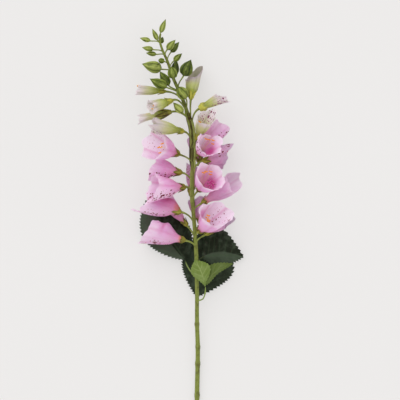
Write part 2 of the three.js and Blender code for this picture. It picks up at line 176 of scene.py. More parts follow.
class Draft:
    """A mesh being drawn up: its points in millimetres, its faces and the figures painted on its points."""

    def __init__(self) -> None:
        """Starts with nothing drawn."""
        self.points: list[Array] = []
        self.faces: list[Array] = []
        self.paint: dict[str, list[tuple[int, Array]]] = {}
        self.count = 0

    def add(self, points: Array, **paint: Array | float) -> Array:
        """Adds a grid of points.

        Args:
            points: The places, as rows by columns by 3.
            paint: Figures for each point, each a number or a grid.

        Returns:
            The points' numbers, as rows by columns.
        """
        rows, columns = points.shape[:2]
        numbers = self.count + np.arange(rows * columns).reshape(rows, columns)
        self.points.append(points.reshape(-1, 3))
        for name, values in paint.items():
            spread = np.broadcast_to(np.asarray(values, float), (rows, columns)).reshape(-1)
            self.paint.setdefault(name, []).append((self.count, spread))
        self.count += rows * columns
        return numbers

    def cover(self, numbers: Array, around: bool) -> None:
        """Covers a grid of points with four-sided faces.

        Args:
            numbers: The points' numbers, as rows by columns.
            around: Whether the last column is joined to the first.
        """
        wide = np.hstack([numbers, numbers[:, :1]]) if around else numbers
        corners = [wide[:-1, :-1], wide[:-1, 1:], wide[1:, 1:], wide[1:, :-1]]
        self.faces.extend(np.stack(corners, axis=-1).reshape(-1, 4))

    def close(self, ring: Array, middle: Array, **paint: float) -> None:
        """Closes a ring of points with a fan of faces to a new point in its middle, which takes the paint."""
        centre = self.add(middle.reshape(1, 1, 3), **paint)[0, 0]
        self.faces.extend(np.array([start, end, centre]) for start, end in zip(ring, np.roll(ring, -1)))

    def rod(self, grid: Array, paint: Paint, caps: list[Paint], ends: list[Array] | None = None) -> None:
        """Adds a rod: rings of points, covered with faces and closed at both ends.

        Args:
            grid: The places of its rings, as rings by columns by 3.
            paint: Figures for the rings' points.
            caps: Figures for each of the two points that close its ends.
            ends: Where those two points lie. Without it, each lies in the middle of its ring.
        """
        numbers = self.add(grid, **paint)
        self.cover(numbers, around=True)
        for ring, place, cap in zip((0, -1), ends or [grid[0].mean(0), grid[-1].mean(0)], caps):
            self.close(numbers[ring], place, **cap)

    def build(self, name: str, material: bpy.types.Material) -> bpy.types.Object:
        """Makes the object.

        Args:
            name: The piece's name.
            material: What it is dressed in.

        Returns:
            The object, smooth shaded, with its faces turned outwards.
        """
        mesh = bpy.data.meshes.new(name)
        points = np.vstack(self.points) * MM
        mesh.from_pydata(points.tolist(), [], [face.tolist() for face in self.faces])
        for figure, parts in self.paint.items():
            values = np.zeros(self.count, np.float32)
            for start, part in parts:
                values[start : start + len(part)] = part
            mesh.attributes.new(figure, "FLOAT", "POINT").data.foreach_set("value", values)
        work = bmesh.new()
        work.from_mesh(mesh)
        bmesh.ops.recalc_face_normals(work, faces=work.faces)
        for face in work.faces:
            face.smooth = True
        work.to_mesh(mesh)
        work.free()
        mesh.materials.append(material)
        piece = bpy.data.objects.new(name, mesh)
        bpy.context.scene.collection.objects.link(piece)
        return piece


@dataclass(frozen=True)
class Line:
    """A smooth line in space, as points close together."""

    points: Array

    @classmethod
    def through(cls, places: list[Place] | Array, steps: int) -> "Line":
        """Draws a line through places, in a centripetal Catmull-Rom curve.

        Args:
            places: The places that it runs through.
            steps: How many points it has.

        Returns:
            The line.
        """
        knots = np.array(places, float)
        knots = np.vstack([2 * knots[0] - knots[1], knots, 2 * knots[-1] - knots[-2]])
        times = np.concatenate([[0], np.cumsum(np.linalg.norm(np.diff(knots, axis=0), axis=1) ** 0.5)])
        spots = np.linspace(0, len(knots) - 3 - 1e-9, steps)
        points = []
        for spot in spots:
            first = int(spot)
            t0, t1, t2, t3 = times[first : first + 4]
            p0, p1, p2, p3 = knots[first : first + 4]
            t = t1 + (spot - first) * (t2 - t1)
            a1 = (t1 - t) / (t1 - t0) * p0 + (t - t0) / (t1 - t0) * p1
            a2 = (t2 - t) / (t2 - t1) * p1 + (t - t1) / (t2 - t1) * p2
            a3 = (t3 - t) / (t3 - t2) * p2 + (t - t2) / (t3 - t2) * p3
            b1 = (t2 - t) / (t2 - t0) * a1 + (t - t0) / (t2 - t0) * a2
            b2 = (t3 - t) / (t3 - t1) * a2 + (t - t1) / (t3 - t1) * a3
            points.append((t2 - t) / (t2 - t1) * b1 + (t - t1) / (t2 - t1) * b2)
        return cls(np.array(points))

    @classmethod
    def bent(cls, start: Array, leaving: Array, nearing: Array, end: Array, steps: int) -> "Line":
        """Draws a cubic Bezier line.

        Args:
            start, end: Its first and last points.
            leaving, nearing: The points that it heads for as it leaves and comes from as it arrives.
            steps: How many points it has.

        Returns:
            The line.
        """
        t = np.linspace(0, 1, steps)[:, None]
        back = 1 - t
        corners = (start * back**3, 3 * leaving * t * back**2, 3 * nearing * t**2 * back, end * t**3)
        return cls(sum(corners))

    def forward(self) -> Array:
        """Returns the direction of the line at each of its points."""
        return unit(np.gradient(self.points, axis=0))

    def lengths(self) -> Array:
        """Returns how far along the line each of its points is."""
        steps = np.linalg.norm(np.diff(self.points, axis=0), axis=1)
        return np.concatenate([[0], np.cumsum(steps)])

    def sides(self, start: Place = (1, 0.05, 0.1)) -> tuple[Array, Array]:
        """Carries two sideways directions along the line with no needless turning.

        Args:
            start: Roughly where the first direction points at the line's start.

        Returns:
            The two directions at each point.
        """
        forward = self.forward()
        across = np.empty_like(forward)
        current = np.array(start, float)
        for index, ahead in enumerate(forward):
            current = unit(current - ahead * (current @ ahead))
            across[index] = current
        return across, np.cross(forward, across)

    def tube(self, radius: Array, columns: int) -> Array:
        """Draws the points of a tube round the line.

        Args:
            radius: The tube's radius, as points by columns or as one column for all.
            columns: How many points lie round it.

        Returns:
            Its places, as rows by columns by 3.
        """
        across, other = self.sides()
        angle = round_turn(columns)[..., None]
        out = np.broadcast_to(radius, (len(self.points), columns))
        ring = across[:, None] * np.cos(angle) + other[:, None] * np.sin(angle)
        return self.points[:, None] + ring * out[..., None]


@dataclass(frozen=True)
class Axes:
    """Where a piece starts, where it points and which side of it is its front."""

    foot: Array
    forward: Array
    across: Array

    def place(self, local: Array) -> Array:
        """Turns points from the piece's own axes, with Z forward and X to its front, into the frame's."""
        turn = np.stack([self.across, np.cross(self.forward, self.across), self.forward])
        return self.foot + local @ turn

    @classmethod
    def aimed(cls, foot: Array, target: Array) -> "Axes":
        """Points a piece from its foot at a target, with its front upwards."""
        forward = unit(target - foot)
        return cls(foot, forward, unit(UP - forward * (UP @ forward)))


def node_points(node: str) -> Array:
    """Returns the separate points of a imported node, in millimetres."""
    points = np.array([vertex.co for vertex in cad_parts[node].data.vertices])
    return np.unique(points.round(7) / MM, axis=0)


# ---- finishes ----


class Shades:
    """A material being mixed, in short calls that each add one node."""

    def __init__(self, name: str) -> None:
        """Starts an empty material.

        Args:
            name: The material's name.
        """
        self.material = bpy.data.materials.new(name)
        self.material.use_nodes = True
        self.tree = self.material.node_tree
        self.tree.nodes.clear()

    def node(self, kind: str, inputs: dict[int | str, object], **settings: object) -> bpy.types.Node:
        """Adds a node.

        Args:
            kind: The node's Blender type.
            inputs: What goes into its sockets: another node's socket, or a plain value.
            settings: The node's own settings.

        Returns:
            The node.
        """
        made = self.tree.nodes.new(kind)
        for setting, value in settings.items():
            setattr(made, setting, value)
        for socket, value in inputs.items():
            if isinstance(value, Socket):
                self.tree.links.new(value, made.inputs[socket])
            else:
                made.inputs[socket].default_value = value
        return made

    def painted(self, figure: str) -> Socket:
        """Reads a figure painted on the mesh."""
        return self.node("ShaderNodeAttribute", {}, attribute_name=figure).outputs["Fac"]

    def sum(self, operation: str, first: Socket | float, second: Socket | float) -> Socket:
        """Works out one sum of two numbers, such as ARCTAN2."""
        return self.node("ShaderNodeMath", {0: first, 1: second}, operation=operation).outputs[0]

    def plus(self, first: Socket | float, second: Socket | float) -> Socket:
        """Adds two numbers."""
        return self.sum("ADD", first, second)

    def times(self, first: Socket | float, second: Socket | float) -> Socket:
        """Multiplies two numbers."""
        return self.sum("MULTIPLY", first, second)

    def vector(self, x: Socket | float, y: Socket | float, z: Socket | float) -> Socket:
        """Joins three numbers in a vector."""
        return self.node("ShaderNodeCombineXYZ", {0: x, 1: y, 2: z}).outputs[0]

    def place(self) -> Socket:
        """Reads the place of the point on the piece, in metres."""
        return self.node("ShaderNodeTexCoord", {}).outputs["Object"]

    def noise(self, vector: Socket, scale: float, detail: float = 3.0) -> Socket:
        """Reads a cloudy noise from 0 to 1."""
        inputs = {"Vector": vector, "Scale": scale, "Detail": detail}
        return self.node("ShaderNodeTexNoise", inputs).outputs["Fac"]

    def cells(self, vector: Socket, scale: float, flat: bool = False) -> tuple[Socket, Socket]:
        """Scatters points, on a plane if flat.

        Args:
            vector: Where to read.
            scale: How many points there are to each unit of length.
            flat: Whether they lie on a plane.

        Returns:
            The distance to the nearest point, in steps of their spacing, and that point's own chance number.
        """
        spread = "2D" if flat else "3D"
        inputs = {"Vector": vector, "Scale": scale}
        made = self.node("ShaderNodeTexVoronoi", inputs, voronoi_dimensions=spread)
        chance = self.node("ShaderNodeSeparateColor", {0: made.outputs["Color"]}).outputs[0]
        return made.outputs["Distance"], chance

    def band(self, value: Socket, low: float | Socket, high: float | Socket) -> Socket:
        """Reads 0 where a value is at low, 1 where it is at high, and a smooth rise between them."""
        inputs = {0: value, 1: low, 2: high}
        return self.node("ShaderNodeMapRange", inputs, interpolation_type="SMOOTHSTEP").outputs[0]

    def mix(self, share: Socket | float, first: Socket | Colour, second: Socket | Colour) -> Socket:
        """Mixes two colours."""
        inputs = {0: share, 6: first, 7: second}
        return self.node("ShaderNodeMix", inputs, data_type="RGBA").outputs[2]

    def ramp(self, value: Socket, stops: tuple[tuple[float, Colour], ...]) -> Socket:
        """Reads a colour from a row of stops.

        Args:
            value: Where to read, from 0 to 1.
            stops: Each stop's place and colour.

        Returns:
            The colour.
        """
        made = self.node("ShaderNodeValToRGB", {0: value})
        elements = made.color_ramp.elements
        while len(elements) < len(stops):
            elements.new(1.0)
        for element, (place, shade) in zip(elements, stops):
            element.position = place
            element.color = shade
        return made.outputs[0]

    def patchy(self, value: Socket, rise: tuple[float, float], share: float, two: Colours) -> Socket:
        """Mixes the second of two colours into the first, by up to a share, as a value rises."""
        return self.mix(self.times(self.band(value, *rise), share), *two)

    def streaks(self, seed: Socket | float, stretch: float, scale: float) -> Socket:
        """Reads a noise that is drawn out along a piece, from its painted turn and run."""
        far = self.plus(self.times(self.painted("run"), stretch), seed)
        return self.noise(self.vector(self.painted("turn_cos"), self.painted("turn_sin"), far), scale, 4.0)

    def finish(
        self,
        base: Socket,
        roughness: Socket | float,
        height: Socket,
        relief: float,
        through: float = 0.0,
        **gloss: float | Colour,
    ) -> bpy.types.Material:
        """Ends the material.

        Args:
            base: Its colour.
            roughness: Its roughness.
            height: The fine relief, from 0 to 1.
            relief: How deep the relief is, in millimetres.
            through: How much of the light goes through it, from 0 to 1.
            gloss: Values set on the shader's own sockets, with _ for a space in their names.

        Returns:
            The finished material.
        """
        bump = self.node("ShaderNodeBump", {"Height": height, "Distance": relief * MM, "Strength": 1.0})
        inputs = {"Base Color": base, "Roughness": roughness, "Normal": bump.outputs[0]}
        inputs.update({name.replace("_", " "): value for name, value in gloss.items()})
        shader = self.node("ShaderNodeBsdfPrincipled", inputs).outputs[0]
        if through:
            glow = self.node("ShaderNodeBsdfTranslucent", {"Color": base, "Normal": bump.outputs[0]})
            shader = self.node("ShaderNodeMixShader", {0: through, 1: shader, 2: glow.outputs[0]}).outputs[0]
        self.node("ShaderNodeOutputMaterial", {"Surface": shader})
        return self.material


@dataclass(frozen=True)
class PetalFinish:
    """Thin printed petal: coloured from neck to lip, streaked, with dark spots in pale rings.

    Attributes:
        stops: The colours from neck to lip.
        deep, cool, pale, blush_and_shade, ash: The tones of streaks, clouds, rims, the throat and painted
            shade, and dull parts.
        halo, spot, speck: The colours of the rings, of most spots and of the lighter ones.
        spacing, wander: How far apart the spots are, and how far they stray, in millimetres.
        seed_shift: How far apart two bells' spots are read, so that no two bells are spotted alike.
        Each share says how strongly a thing shows, and each scale how fine it is.
    """

    name: str
    slot: str
    stops: tuple[tuple[float, Colour], ...]
    deep: Colour
    pale: Colour
    blush_and_shade: Colour
    cool: Colour
    halo: Colour = colour(252, 234, 244)
    spot: Colour = colour(142, 14, 64)
    speck: Colour = colour(206, 62, 142)
    ash: Colour = colour(222, 200, 216)
    spacing: float = 4.0
    streak_share: float = 0.6
    cloud_share: float = 0.3
    vein_share: float = 0.22
    fold_share: float = 0.5
    halo_share: float = 0.8
    streak_scale: float = 3.2
    vein_scale: float = 11.0
    cloud_scale: float = 70.0
    grain_scale: float = 1800.0
    wander_scale: float = 260.0
    seed_shift: float = 37.0
    wander: float = 3.0
    roughness: float = 0.5
    relief: float = 0.3
    through: float = 0.56

    def material(self) -> bpy.types.Material:
        """Mixes the material.

        Returns:
            A material that reads along, run, radius, turn, blush_and_shade, pale, ash, fold, dots and seed.
        """
        mix = Shades(self.name)
        seed = mix.painted("seed")
        body = mix.ramp(mix.painted("along"), self.stops)
        streak = mix.streaks(seed, 0.05, self.streak_scale)
        body = mix.patchy(streak, (0.46, 0.72), self.streak_share, (body, self.deep))
        cloud = mix.noise(mix.place(), self.cloud_scale, 2.0)
        body = mix.patchy(cloud, (0.45, 0.7), self.cloud_share, (body, self.cool))
        # The throat's deep pink, with painted shade where a patch darkens a crease or a wall that a bell above
        # shades.
        body = mix.mix(mix.painted("blush_and_shade"), body, self.blush_and_shade)
        body = mix.mix(mix.painted("pale"), body, self.pale)
        vein = mix.streaks(seed, 0.02, self.vein_scale)
        body = mix.patchy(vein, (0.56, 0.66), self.vein_share, (body, self.pale))
        # Painted shade along the petal's folds.
        body = mix.mix(mix.times(mix.painted("fold"), self.fold_share), body, self.blush_and_shade)
        body = mix.mix(mix.painted("ash"), body, self.ash)
        body = self.spotted(mix, body, seed)
        grain = mix.noise(mix.place(), self.grain_scale, 2.0)
        height = mix.plus(mix.times(grain, 0.25), streak)
        height = mix.plus(height, mix.times(vein, 0.5))
        rough = mix.plus(mix.times(cloud, 0.2), self.roughness)
        gloss = {"Specular_IOR_Level": 0.25, "Sheen_Weight": 0.15, "Sheen_Roughness": 0.45}
        return mix.finish(body, rough, height, self.relief, through=self.through, **gloss)

    def spotted(self, mix: Shades, body: Socket, seed: Socket) -> Socket:
        """Prints the spots where dots is painted. A spot's size follows how strongly dots is painted.

        Args:
            mix: The material being mixed.
            body: The petal's colour without them.
            seed: A number that differs from bell to bell.

        Returns:
            The colour with pale rings and dark spots.
        """
        smallest, spread, ring_width = 0.06, 0.4, 0.14
        angle = mix.sum("ARCTAN2", mix.painted("turn_sin"), mix.painted("turn_cos"))
        arc = mix.times(angle, mix.painted("radius"))
        away = mix.plus(mix.painted("run"), mix.times(seed, self.seed_shift))
        shift = mix.times(mix.noise(mix.place(), self.wander_scale, 1.0), self.wander)
        place = mix.vector(mix.plus(arc, shift), mix.plus(away, shift), 0.0)
        distance, chance = mix.cells(place, 1 / self.spacing, flat=True)
        dots = mix.painted("dots")
        size = mix.times(dots, mix.plus(mix.times(chance, spread), smallest))
        ring = mix.plus(size, ring_width)
        shown = mix.band(dots, 0.12, 0.3)
        halo = mix.band(distance, ring, size)
        body = mix.mix(mix.times(mix.times(halo, shown), self.halo_share), body, self.halo)
        core = mix.band(distance, size, mix.times(size, 0.75))
        ink = mix.mix(mix.band(chance, 0.3, 0.7), self.speck, self.spot)
        return mix.mix(mix.times(core, shown), body, ink)


@dataclass(frozen=True)
class GreenFinish:
    """Satin moulded green with lighter and darker parts painted on the mesh, and fine lengthwise streaks.

    Attributes:
        base, light, dark: Its plain colour, and those of its lighter and darker parts.
        tone_share: How strongly its streaks and clouds show.
    """

    name: str
    slot: str
    base: Colour
    light: Colour
    dark: Colour
    streak_scale: float = 4.0
    cloud_scale: float = 140.0
    grain_scale: float = 2600.0
    tone_share: float = 0.5
    roughness: float = 0.4
    relief: float = 0.2
    specular: float = 0.35

    def material(self) -> bpy.types.Material:
        """Mixes the material.

        Returns:
            A material that reads light, dark, turn and run from the mesh.
        """
        mix = Shades(self.name)
        streak = mix.streaks(0.0, 0.03, self.streak_scale)
        cloud = mix.noise(mix.place(), self.cloud_scale)
        body = self.toned(mix, "light", streak, (self.base, self.light))
        body = self.toned(mix, "dark", cloud, (body, self.dark))
        grain = mix.noise(mix.place(), self.grain_scale, 2.0)
        height = mix.plus(mix.times(grain, 0.3), streak)
        rough = mix.plus(mix.times(cloud, 0.2), self.roughness)
        return mix.finish(body, rough, height, self.relief, Specular_IOR_Level=self.specular)

    def toned(self, mix: Shades, figure: str, noise: Socket, two: Colours) -> Socket:
        """Mixes the second of two colours in where a figure is painted, and a little where a noise rises."""
        share = mix.plus(mix.painted(figure), mix.times(mix.band(noise, 0.5, 0.7), self.tone_share))
        return mix.mix(share, *two)


@dataclass(frozen=True)
class LeafFinish:
    """Pressed fabric leaf with lighter veins, a paler under side and painted sheen.

    Attributes:
        base, vein, bloom, stalk, dark: The colours of its blade, veins, paler under side and painted sheen,
            stalk and shaded blade.
        through: How much of the light goes through it.
    """

    name: str
    slot: str
    base: Colour
    vein: Colour
    bloom: Colour
    stalk: Colour
    dark: Colour
    through: float
    cloud_scale: float = 90.0
    weave_scale: float = 2200.0
    crease_scale: float = 700.0
    cloud_share: float = 0.4
    vein_share: float = 0.55
    roughness: float = 0.5
    relief: float = 0.12
    specular: float = 0.16

    def material(self) -> bpy.types.Material:
        """Mixes the material.

        Returns:
            A material that reads vein, bloom, stalk and shade from the mesh.
        """
        mix = Shades(self.name)
        place = mix.place()
        cloud = mix.noise(place, self.cloud_scale, 4.0)
        # Cloudy patches of painted sheen; then the painted sheen and the paler under side that the mesh
        # carries.
        body = mix.patchy(cloud, (0.42, 0.68), self.cloud_share, (self.base, self.bloom))
        body = mix.mix(mix.painted("bloom"), body, self.bloom)
        body = mix.mix(mix.times(mix.painted("vein"), self.vein_share), body, self.vein)
        body = mix.mix(mix.painted("stalk"), body, self.stalk)
        body = mix.mix(mix.painted("shade"), body, self.dark)
        weave = mix.noise(place, self.weave_scale, 2.0)
        creases, _ = mix.cells(place, self.crease_scale)
        height = mix.plus(mix.times(weave, 0.4), creases)
        rough = mix.plus(mix.times(cloud, 0.25), self.roughness)
        gloss = {"Specular_IOR_Level": self.specular}
        return mix.finish(body, rough, height, self.relief, through=self.through, **gloss)


@dataclass(frozen=True)
class StamenFinish:
    """Pale threads that carry orange pollen heads.

    Attributes:
        thread, pollen, shade: The colours of the threads, the pollen and its darker grains.
    """

    name: str = "stamens"
    slot: str = "stamen_orange"
    thread: Colour = colour(240, 222, 190)
    pollen: Colour = colour(250, 174, 70)
    shade: Colour = colour(230, 134, 44)
    grain_scale: float = 1500.0
    roughness: float = 0.6

    def material(self) -> bpy.types.Material:
        """Mixes the material.

        Returns:
            A material that reads pollen from the mesh.
        """
        mix = Shades(self.name)
        grain = mix.noise(mix.place(), self.grain_scale)
        dust = mix.mix(mix.band(grain, 0.45, 0.65), self.pollen, self.shade)
        body = mix.mix(mix.painted("pollen"), self.thread, dust)
        rough = mix.plus(mix.times(grain, 0.2), self.roughness)
        return mix.finish(body, rough, grain, 0.3, Specular_IOR_Level=0.25)


PINK_STOPS = (
    (0.0, colour(218, 156, 76)),
    (0.09, colour(246, 174, 146)),
    (0.18, colour(249, 200, 228)),
    (0.6, colour(250, 212, 243)),
    (0.88, colour(252, 223, 246)),
    (1.0, colour(252, 230, 247)),
)
MAUVE_STOPS = (
    (0.0, colour(212, 160, 72)),
    (0.13, colour(230, 168, 150)),
    (0.3, colour(245, 202, 230)),
    (0.85, colour(242, 203, 232)),
    (1.0, colour(240, 208, 234)),
)
PALE_STOPS = (
    (0.0, colour(172, 184, 66)),
    (0.3, colour(204, 212, 102)),
    (0.55, colour(226, 230, 162)),
    (0.8, colour(234, 228, 212)),
    (1.0, colour(216, 200, 214)),
)
STAMENS = StamenFinish()


class Tint(Enum):
    """The four ways that bells are coloured."""

    PINK = PetalFinish(
        "pink_petal", "bell_pink", PINK_STOPS,
        deep=colour(246, 179, 229), pale=colour(254, 244, 253),
        blush_and_shade=colour(224, 100, 178), cool=colour(241, 212, 243),
    )
    MAUVE = PetalFinish(
        "mauve_petal", "bell_mauve", MAUVE_STOPS,
        deep=colour(226, 162, 210), pale=colour(216, 204, 216),
        blush_and_shade=colour(188, 86, 152), cool=colour(214, 178, 220),
    )
    ROSE = PetalFinish(
        "rose_petal", "bell_mauve", PINK_STOPS,
        deep=colour(232, 150, 212), pale=colour(246, 226, 242),
        blush_and_shade=colour(206, 96, 168), cool=colour(234, 196, 232),
    )
    PALE = PetalFinish(
        "pale_petal", "bell_pale", PALE_STOPS,
        deep=colour(208, 204, 150), pale=colour(248, 242, 244),
        blush_and_shade=colour(150, 166, 70), cool=colour(216, 206, 214),
        spot=colour(146, 48, 98), speck=colour(196, 132, 168), ash=colour(172, 168, 146),
        streak_share=0.3, spacing=2.6,
    )


class Green(Enum):
    """The moulded greens."""

    STEM = GreenFinish(
        "stem_green", "stem_green",
        base=colour(119, 130, 52), light=colour(160, 169, 92), dark=colour(70, 58, 26), specular=0.25,
    )
    BUD = GreenFinish(
        "bud_green", "bud_green",
        base=colour(94, 110, 22), light=colour(170, 179, 94), dark=colour(40, 52, 12), specular=0.22,
    )
    CALYX = GreenFinish(
        "calyx_green", "calyx_green",
        base=colour(145, 142, 36), light=colour(192, 188, 80), dark=colour(78, 64, 26),
    )


class Foliage(Enum):
    """The two kinds of leaf fabric."""

    DARK = LeafFinish(
        "dark_leaf", "leaf_dark", colour(22, 30, 12), colour(62, 80, 54),
        bloom=colour(84, 97, 78), stalk=colour(136, 152, 88), dark=colour(20, 26, 14), through=0.04,
    )
    LIGHT = LeafFinish(
        "light_leaf", "leaf_light", colour(114, 134, 62), colour(172, 186, 122),
        bloom=colour(148, 164, 104), stalk=colour(142, 160, 84), dark=colour(58, 74, 28), through=0.15,
    )


Finish = PetalFinish | GreenFinish | LeafFinish | StamenFinish


@cache
def mixed(finish: Finish) -> bpy.types.Material:
    """Returns a finish's material, which is mixed once, so that pieces with one finish share it."""
    return finish.material()


# ---- stem ----


@dataclass(frozen=True)
class Strand:
    """A strand that runs beside the stem where stalks have joined it.

    Attributes:
        low, high: The heights on the stem that it runs between.
        turn: Where it lies round the stem: 0 to the right, 90 on top, in degrees.
        out: How far its middle lies from the stem's.
        light, dark: How light and dark it is.
    """

    low: float
    high: float
    turn: float
    out: float
    light: float = 0.0
    dark: float = 0.0


@dataclass
class Stem:
    """The main stem with its ring scars, its strands and every stalk that grows out of it.

    Attributes:
        cut_height: How far the middle of the cut end lies above the table.
        flowers_from, flowers_to, end: The heights where the flowers start and end, and where it ends.
        scars: The heights of its ring scars, each with a thin lip a little above it.
        stalk_leaving, stalk_nearing: How far a stalk runs straight at its two ends, as shares of its span.
        route: The places that its middle runs through, from the table under the middle of its cut.
    """

    cut_height: float = 2.96
    cut_radius: float = 3.2
    flower_radius: float = 2.6
    tip_radius: float = 1.25
    flowers_from: float = 240.0
    flowers_to: float = 400.0
    end: float = 529.0
    steps: int = 420
    columns: int = 36
    ribs: int = 9
    rib_height: float = 0.14
    scars: tuple[float, ...] = (38, 81, 104, 135)
    scar_spread: float = 3.0
    scar_swell: float = 0.55
    lip_above: float = 1.2
    lip_spread: float = 0.9
    lip_swell: float = 0.28
    tip_rings: int = 6
    stalk_leaving: float = 0.45
    stalk_nearing: float = 0.28
    stalk_steps: int = 40
    stalk_columns: int = 14
    strand_radius: float = 1.45
    strand_columns: int = 12
    route: tuple[Place, ...] = (
        (0, 0, 2.96), (0, 34, 3.5), (1, 101, 8), (0, 135, 11), (0, 182, 17), (-1, 230, 23),
        (-3, 262, 26.5), (-6, 304, 29.5), (-6, 358, 30.5), (-7, 400, 31), (-12, 418, 31.5),
        (-20, 441, 33), (-32, 468, 35.5), (-40, 491, 37.5), (-47, 507, 39), (-50, 518, 40), (-49, 529, 41),
    )
    draft: Draft = field(default_factory=Draft)

    # A stalk's radius along it, as shares of its length and of its radius, up to where its head widens.
    STALK_OUTLINE = [(0, 1.7), (0.18, 1.3), (0.45, 1.08), (0.75, 1.15)]

    def __post_init__(self) -> None:
        """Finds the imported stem's cut end and lays the route from it."""
        points = node_points("stem")
        cut = points[points[:, 1] < points[:, 1].min() + 0.01].mean(0)
        self.origin = cut - np.array([0, 0, self.cut_height])
        self.line = Line.through(self.origin + np.array(self.route, float), self.steps)

    def heights(self) -> Array:
        """Returns the height up the spike of each point of the stem's line."""
        return self.line.points[:, 1] - self.origin[1]

    def at(self, height: float) -> tuple[Array, Array]:
        """Returns the middle of the stem at a height up the spike, and its direction there."""
        index = int(np.argmin(np.abs(self.heights() - height)))
        return self.line.points[index], self.line.forward()[index]

    def radius(self, height: Array) -> Array:
        """Returns the stem's radius at heights up the spike, without its ribs."""
        flowers = [(self.flowers_from, self.flower_radius), (self.flowers_to, self.flower_radius)]
        return smooth([(0, self.cut_radius), *flowers, (self.end, self.tip_radius)], height)

    def draw_main(self) -> None:
        """Draws the main stem, ribbed, with a ring at each scar and a flat cut end."""
        angle = round_turn(self.columns)
        height = self.heights()[:, None]
        ring = sum(hill(height - scar, 0, self.scar_spread) for scar in self.scars)
        lip = sum(hill(height - scar, self.lip_above, self.lip_spread) for scar in self.scars)
        waves = Ripple(7, 1, 3)
        uneven = 0.5 + 0.5 * waves.at(height / 9, angle)
        rib = np.cos(self.ribs * angle + 0.4 * np.sin(height / 40))
        radius = self.radius(height) + self.rib_height * rib + 0.12 * waves.at(height / 25, angle)
        radius += self.scar_swell * ring * (0.5 + uneven) + self.lip_swell * lip * uneven
        radius[-self.tip_rings :] *= np.linspace(0.9, 0.2, self.tip_rings)[:, None]
        grid = self.line.tube(radius, self.columns)
        paint = lengthwise(angle, height)
        paint["light"] = np.clip(0.25 * rib + 0.45 * lip * uneven, 0, 1)
        flowering = fade(300, 370, height) * fade(450, 400, height)
        brown = 0.7 * flowering * (0.4 + 0.6 * uneven) + 0.5 * ring * (1 - uneven)
        # Painted shade along the stem's right side, turned a little towards the table, and a fainter band along
        # its left.
        side_shade = 0.75 * fade(0.86, 1, np.cos(angle - 0.35)) + 0.3 * fade(0.9, 1, np.cos(angle - math.pi))
        paint["dark"] = np.clip(brown + side_shade - 0.3 * rib, 0, 1)
        numbers = self.draft.add(grid, **paint)
        self.draft.cover(numbers, around=True)
        self.close_cut(numbers[0], grid[0])
        self.draft.close(numbers[-1], grid[-1].mean(0))

    def close_cut(self, ring: Array, rim: Array) -> None:
        """Closes the cut end with a pale pith set a little way in.

        Args:
            ring: The numbers of the points round the cut.
            rim: Their places.
        """
        middle = rim.mean(0)
        shrunk, depths, pith_depth = np.array([0.86, 0.5]), np.array([0.15, 0.5]), 0.6
        inner = middle + (rim - middle) * shrunk[:, None, None]
        inner[:, :, 1] += depths[:, None]
        numbers = self.draft.add(inner, light=np.array([[0.5], [1.0]]))
        self.draft.cover(np.vstack([ring, numbers]), around=True)
        self.draft.close(numbers[-1], middle + np.array([0, pith_depth, 0]), light=1.0)

    def add_stalk(self, root: float, end: Array, arriving: Array, radius: float, head: float) -> None:
        """Draws a stalk from the stem to a piece that it carries.

        Args:
            root: The height on the stem that it grows from.
            end: Where it meets the piece.
            arriving: Its direction there.
            radius: Its radius along most of its length.
            head: Its radius where it meets the piece.
        """
        start, up = self.at(root)
        span = np.linalg.norm(end - start)
        leaving = start + up * span * self.stalk_leaving
        nearing = end - arriving * span * self.stalk_nearing
        line = Line.bent(start, leaving, nearing, end, self.stalk_steps)
        angle = round_turn(self.stalk_columns)
        run = line.lengths()[:, None]
        share = run / run[-1]
        swell = radius * smooth([*self.STALK_OUTLINE, (1, head / radius)], share[:, 0])[:, None]
        rib = np.cos(5 * angle + share * 2)
        grid = line.tube(swell * (1 + 0.05 * rib), self.stalk_columns)
        paint = lengthwise(angle, run + root)
        paint["light"] = np.clip(0.3 + 0.3 * rib, 0, 1)
        paint["dark"] = np.clip(0.55 - share * 2.5, 0, 1)
        self.draft.rod(grid, paint, [{}, {}], ends=[start, end + arriving * 0.3])

    def add_strand(self, strand: Strand) -> None:
        """Draws a strand beside the stem.

        Args:
            strand: The strand.
        """
        kept = (self.heights() >= strand.low) & (self.heights() <= strand.high)
        height = self.heights()[kept]
        share = (height - strand.low) / (strand.high - strand.low)
        across, other = self.line.sides()
        turn = -math.radians(strand.turn)
        way = across[kept] * math.cos(turn) + other[kept] * math.sin(turn)
        rise = fade(0, 0.25, share) * fade(1, 0.8, share)
        line = Line(self.line.points[kept] + way * (strand.out * (0.35 + 0.65 * rise))[:, None])
        angle = round_turn(self.strand_columns)
        radius = self.strand_radius * (0.3 + 0.7 * rise)[:, None] * (1 + 0.06 * np.cos(4 * angle))
        paint = lengthwise(angle, height[:, None]) | {"light": strand.light, "dark": strand.dark}
        self.draft.rod(line.tube(radius, self.strand_columns), paint, [{"dark": strand.dark}] * 2)

    def add_bract(self, root: float, tip: Place, width: float) -> None:
        """Draws a narrow scale leaf that grows from the stem beside a stalk.

        Args:
            root: The height on the stem that it grows from.
            tip: Where it ends, from the table under the stem's cut.
            width: Its greatest width.
        """
        steps, columns, edge, dark = 18, 12, 0.15, {"dark": 0.75}
        start, up = self.at(root)
        end = self.origin + np.array(tip, float)
        line = Line.bent(start, start + up * 8, end - up * 4, end, steps)
        share = np.linspace(0, 1, steps)[:, None]
        half = width / 2 * np.sin(np.pi * (0.08 + 0.92 * share) ** 0.7) + edge
        thick = 0.35 * (1 - share) + edge
        across, other = line.sides((1, 0, 0))
        angle = round_turn(columns)
        wide = across[:, None] * (np.cos(angle) * half)[..., None]
        deep = other[:, None] * (np.sin(angle) * thick)[..., None]
        paint = lengthwise(angle, share * 20) | dark
        self.draft.rod(line.points[:, None] + wide + deep, paint, [dark, dark], ends=[start, end])

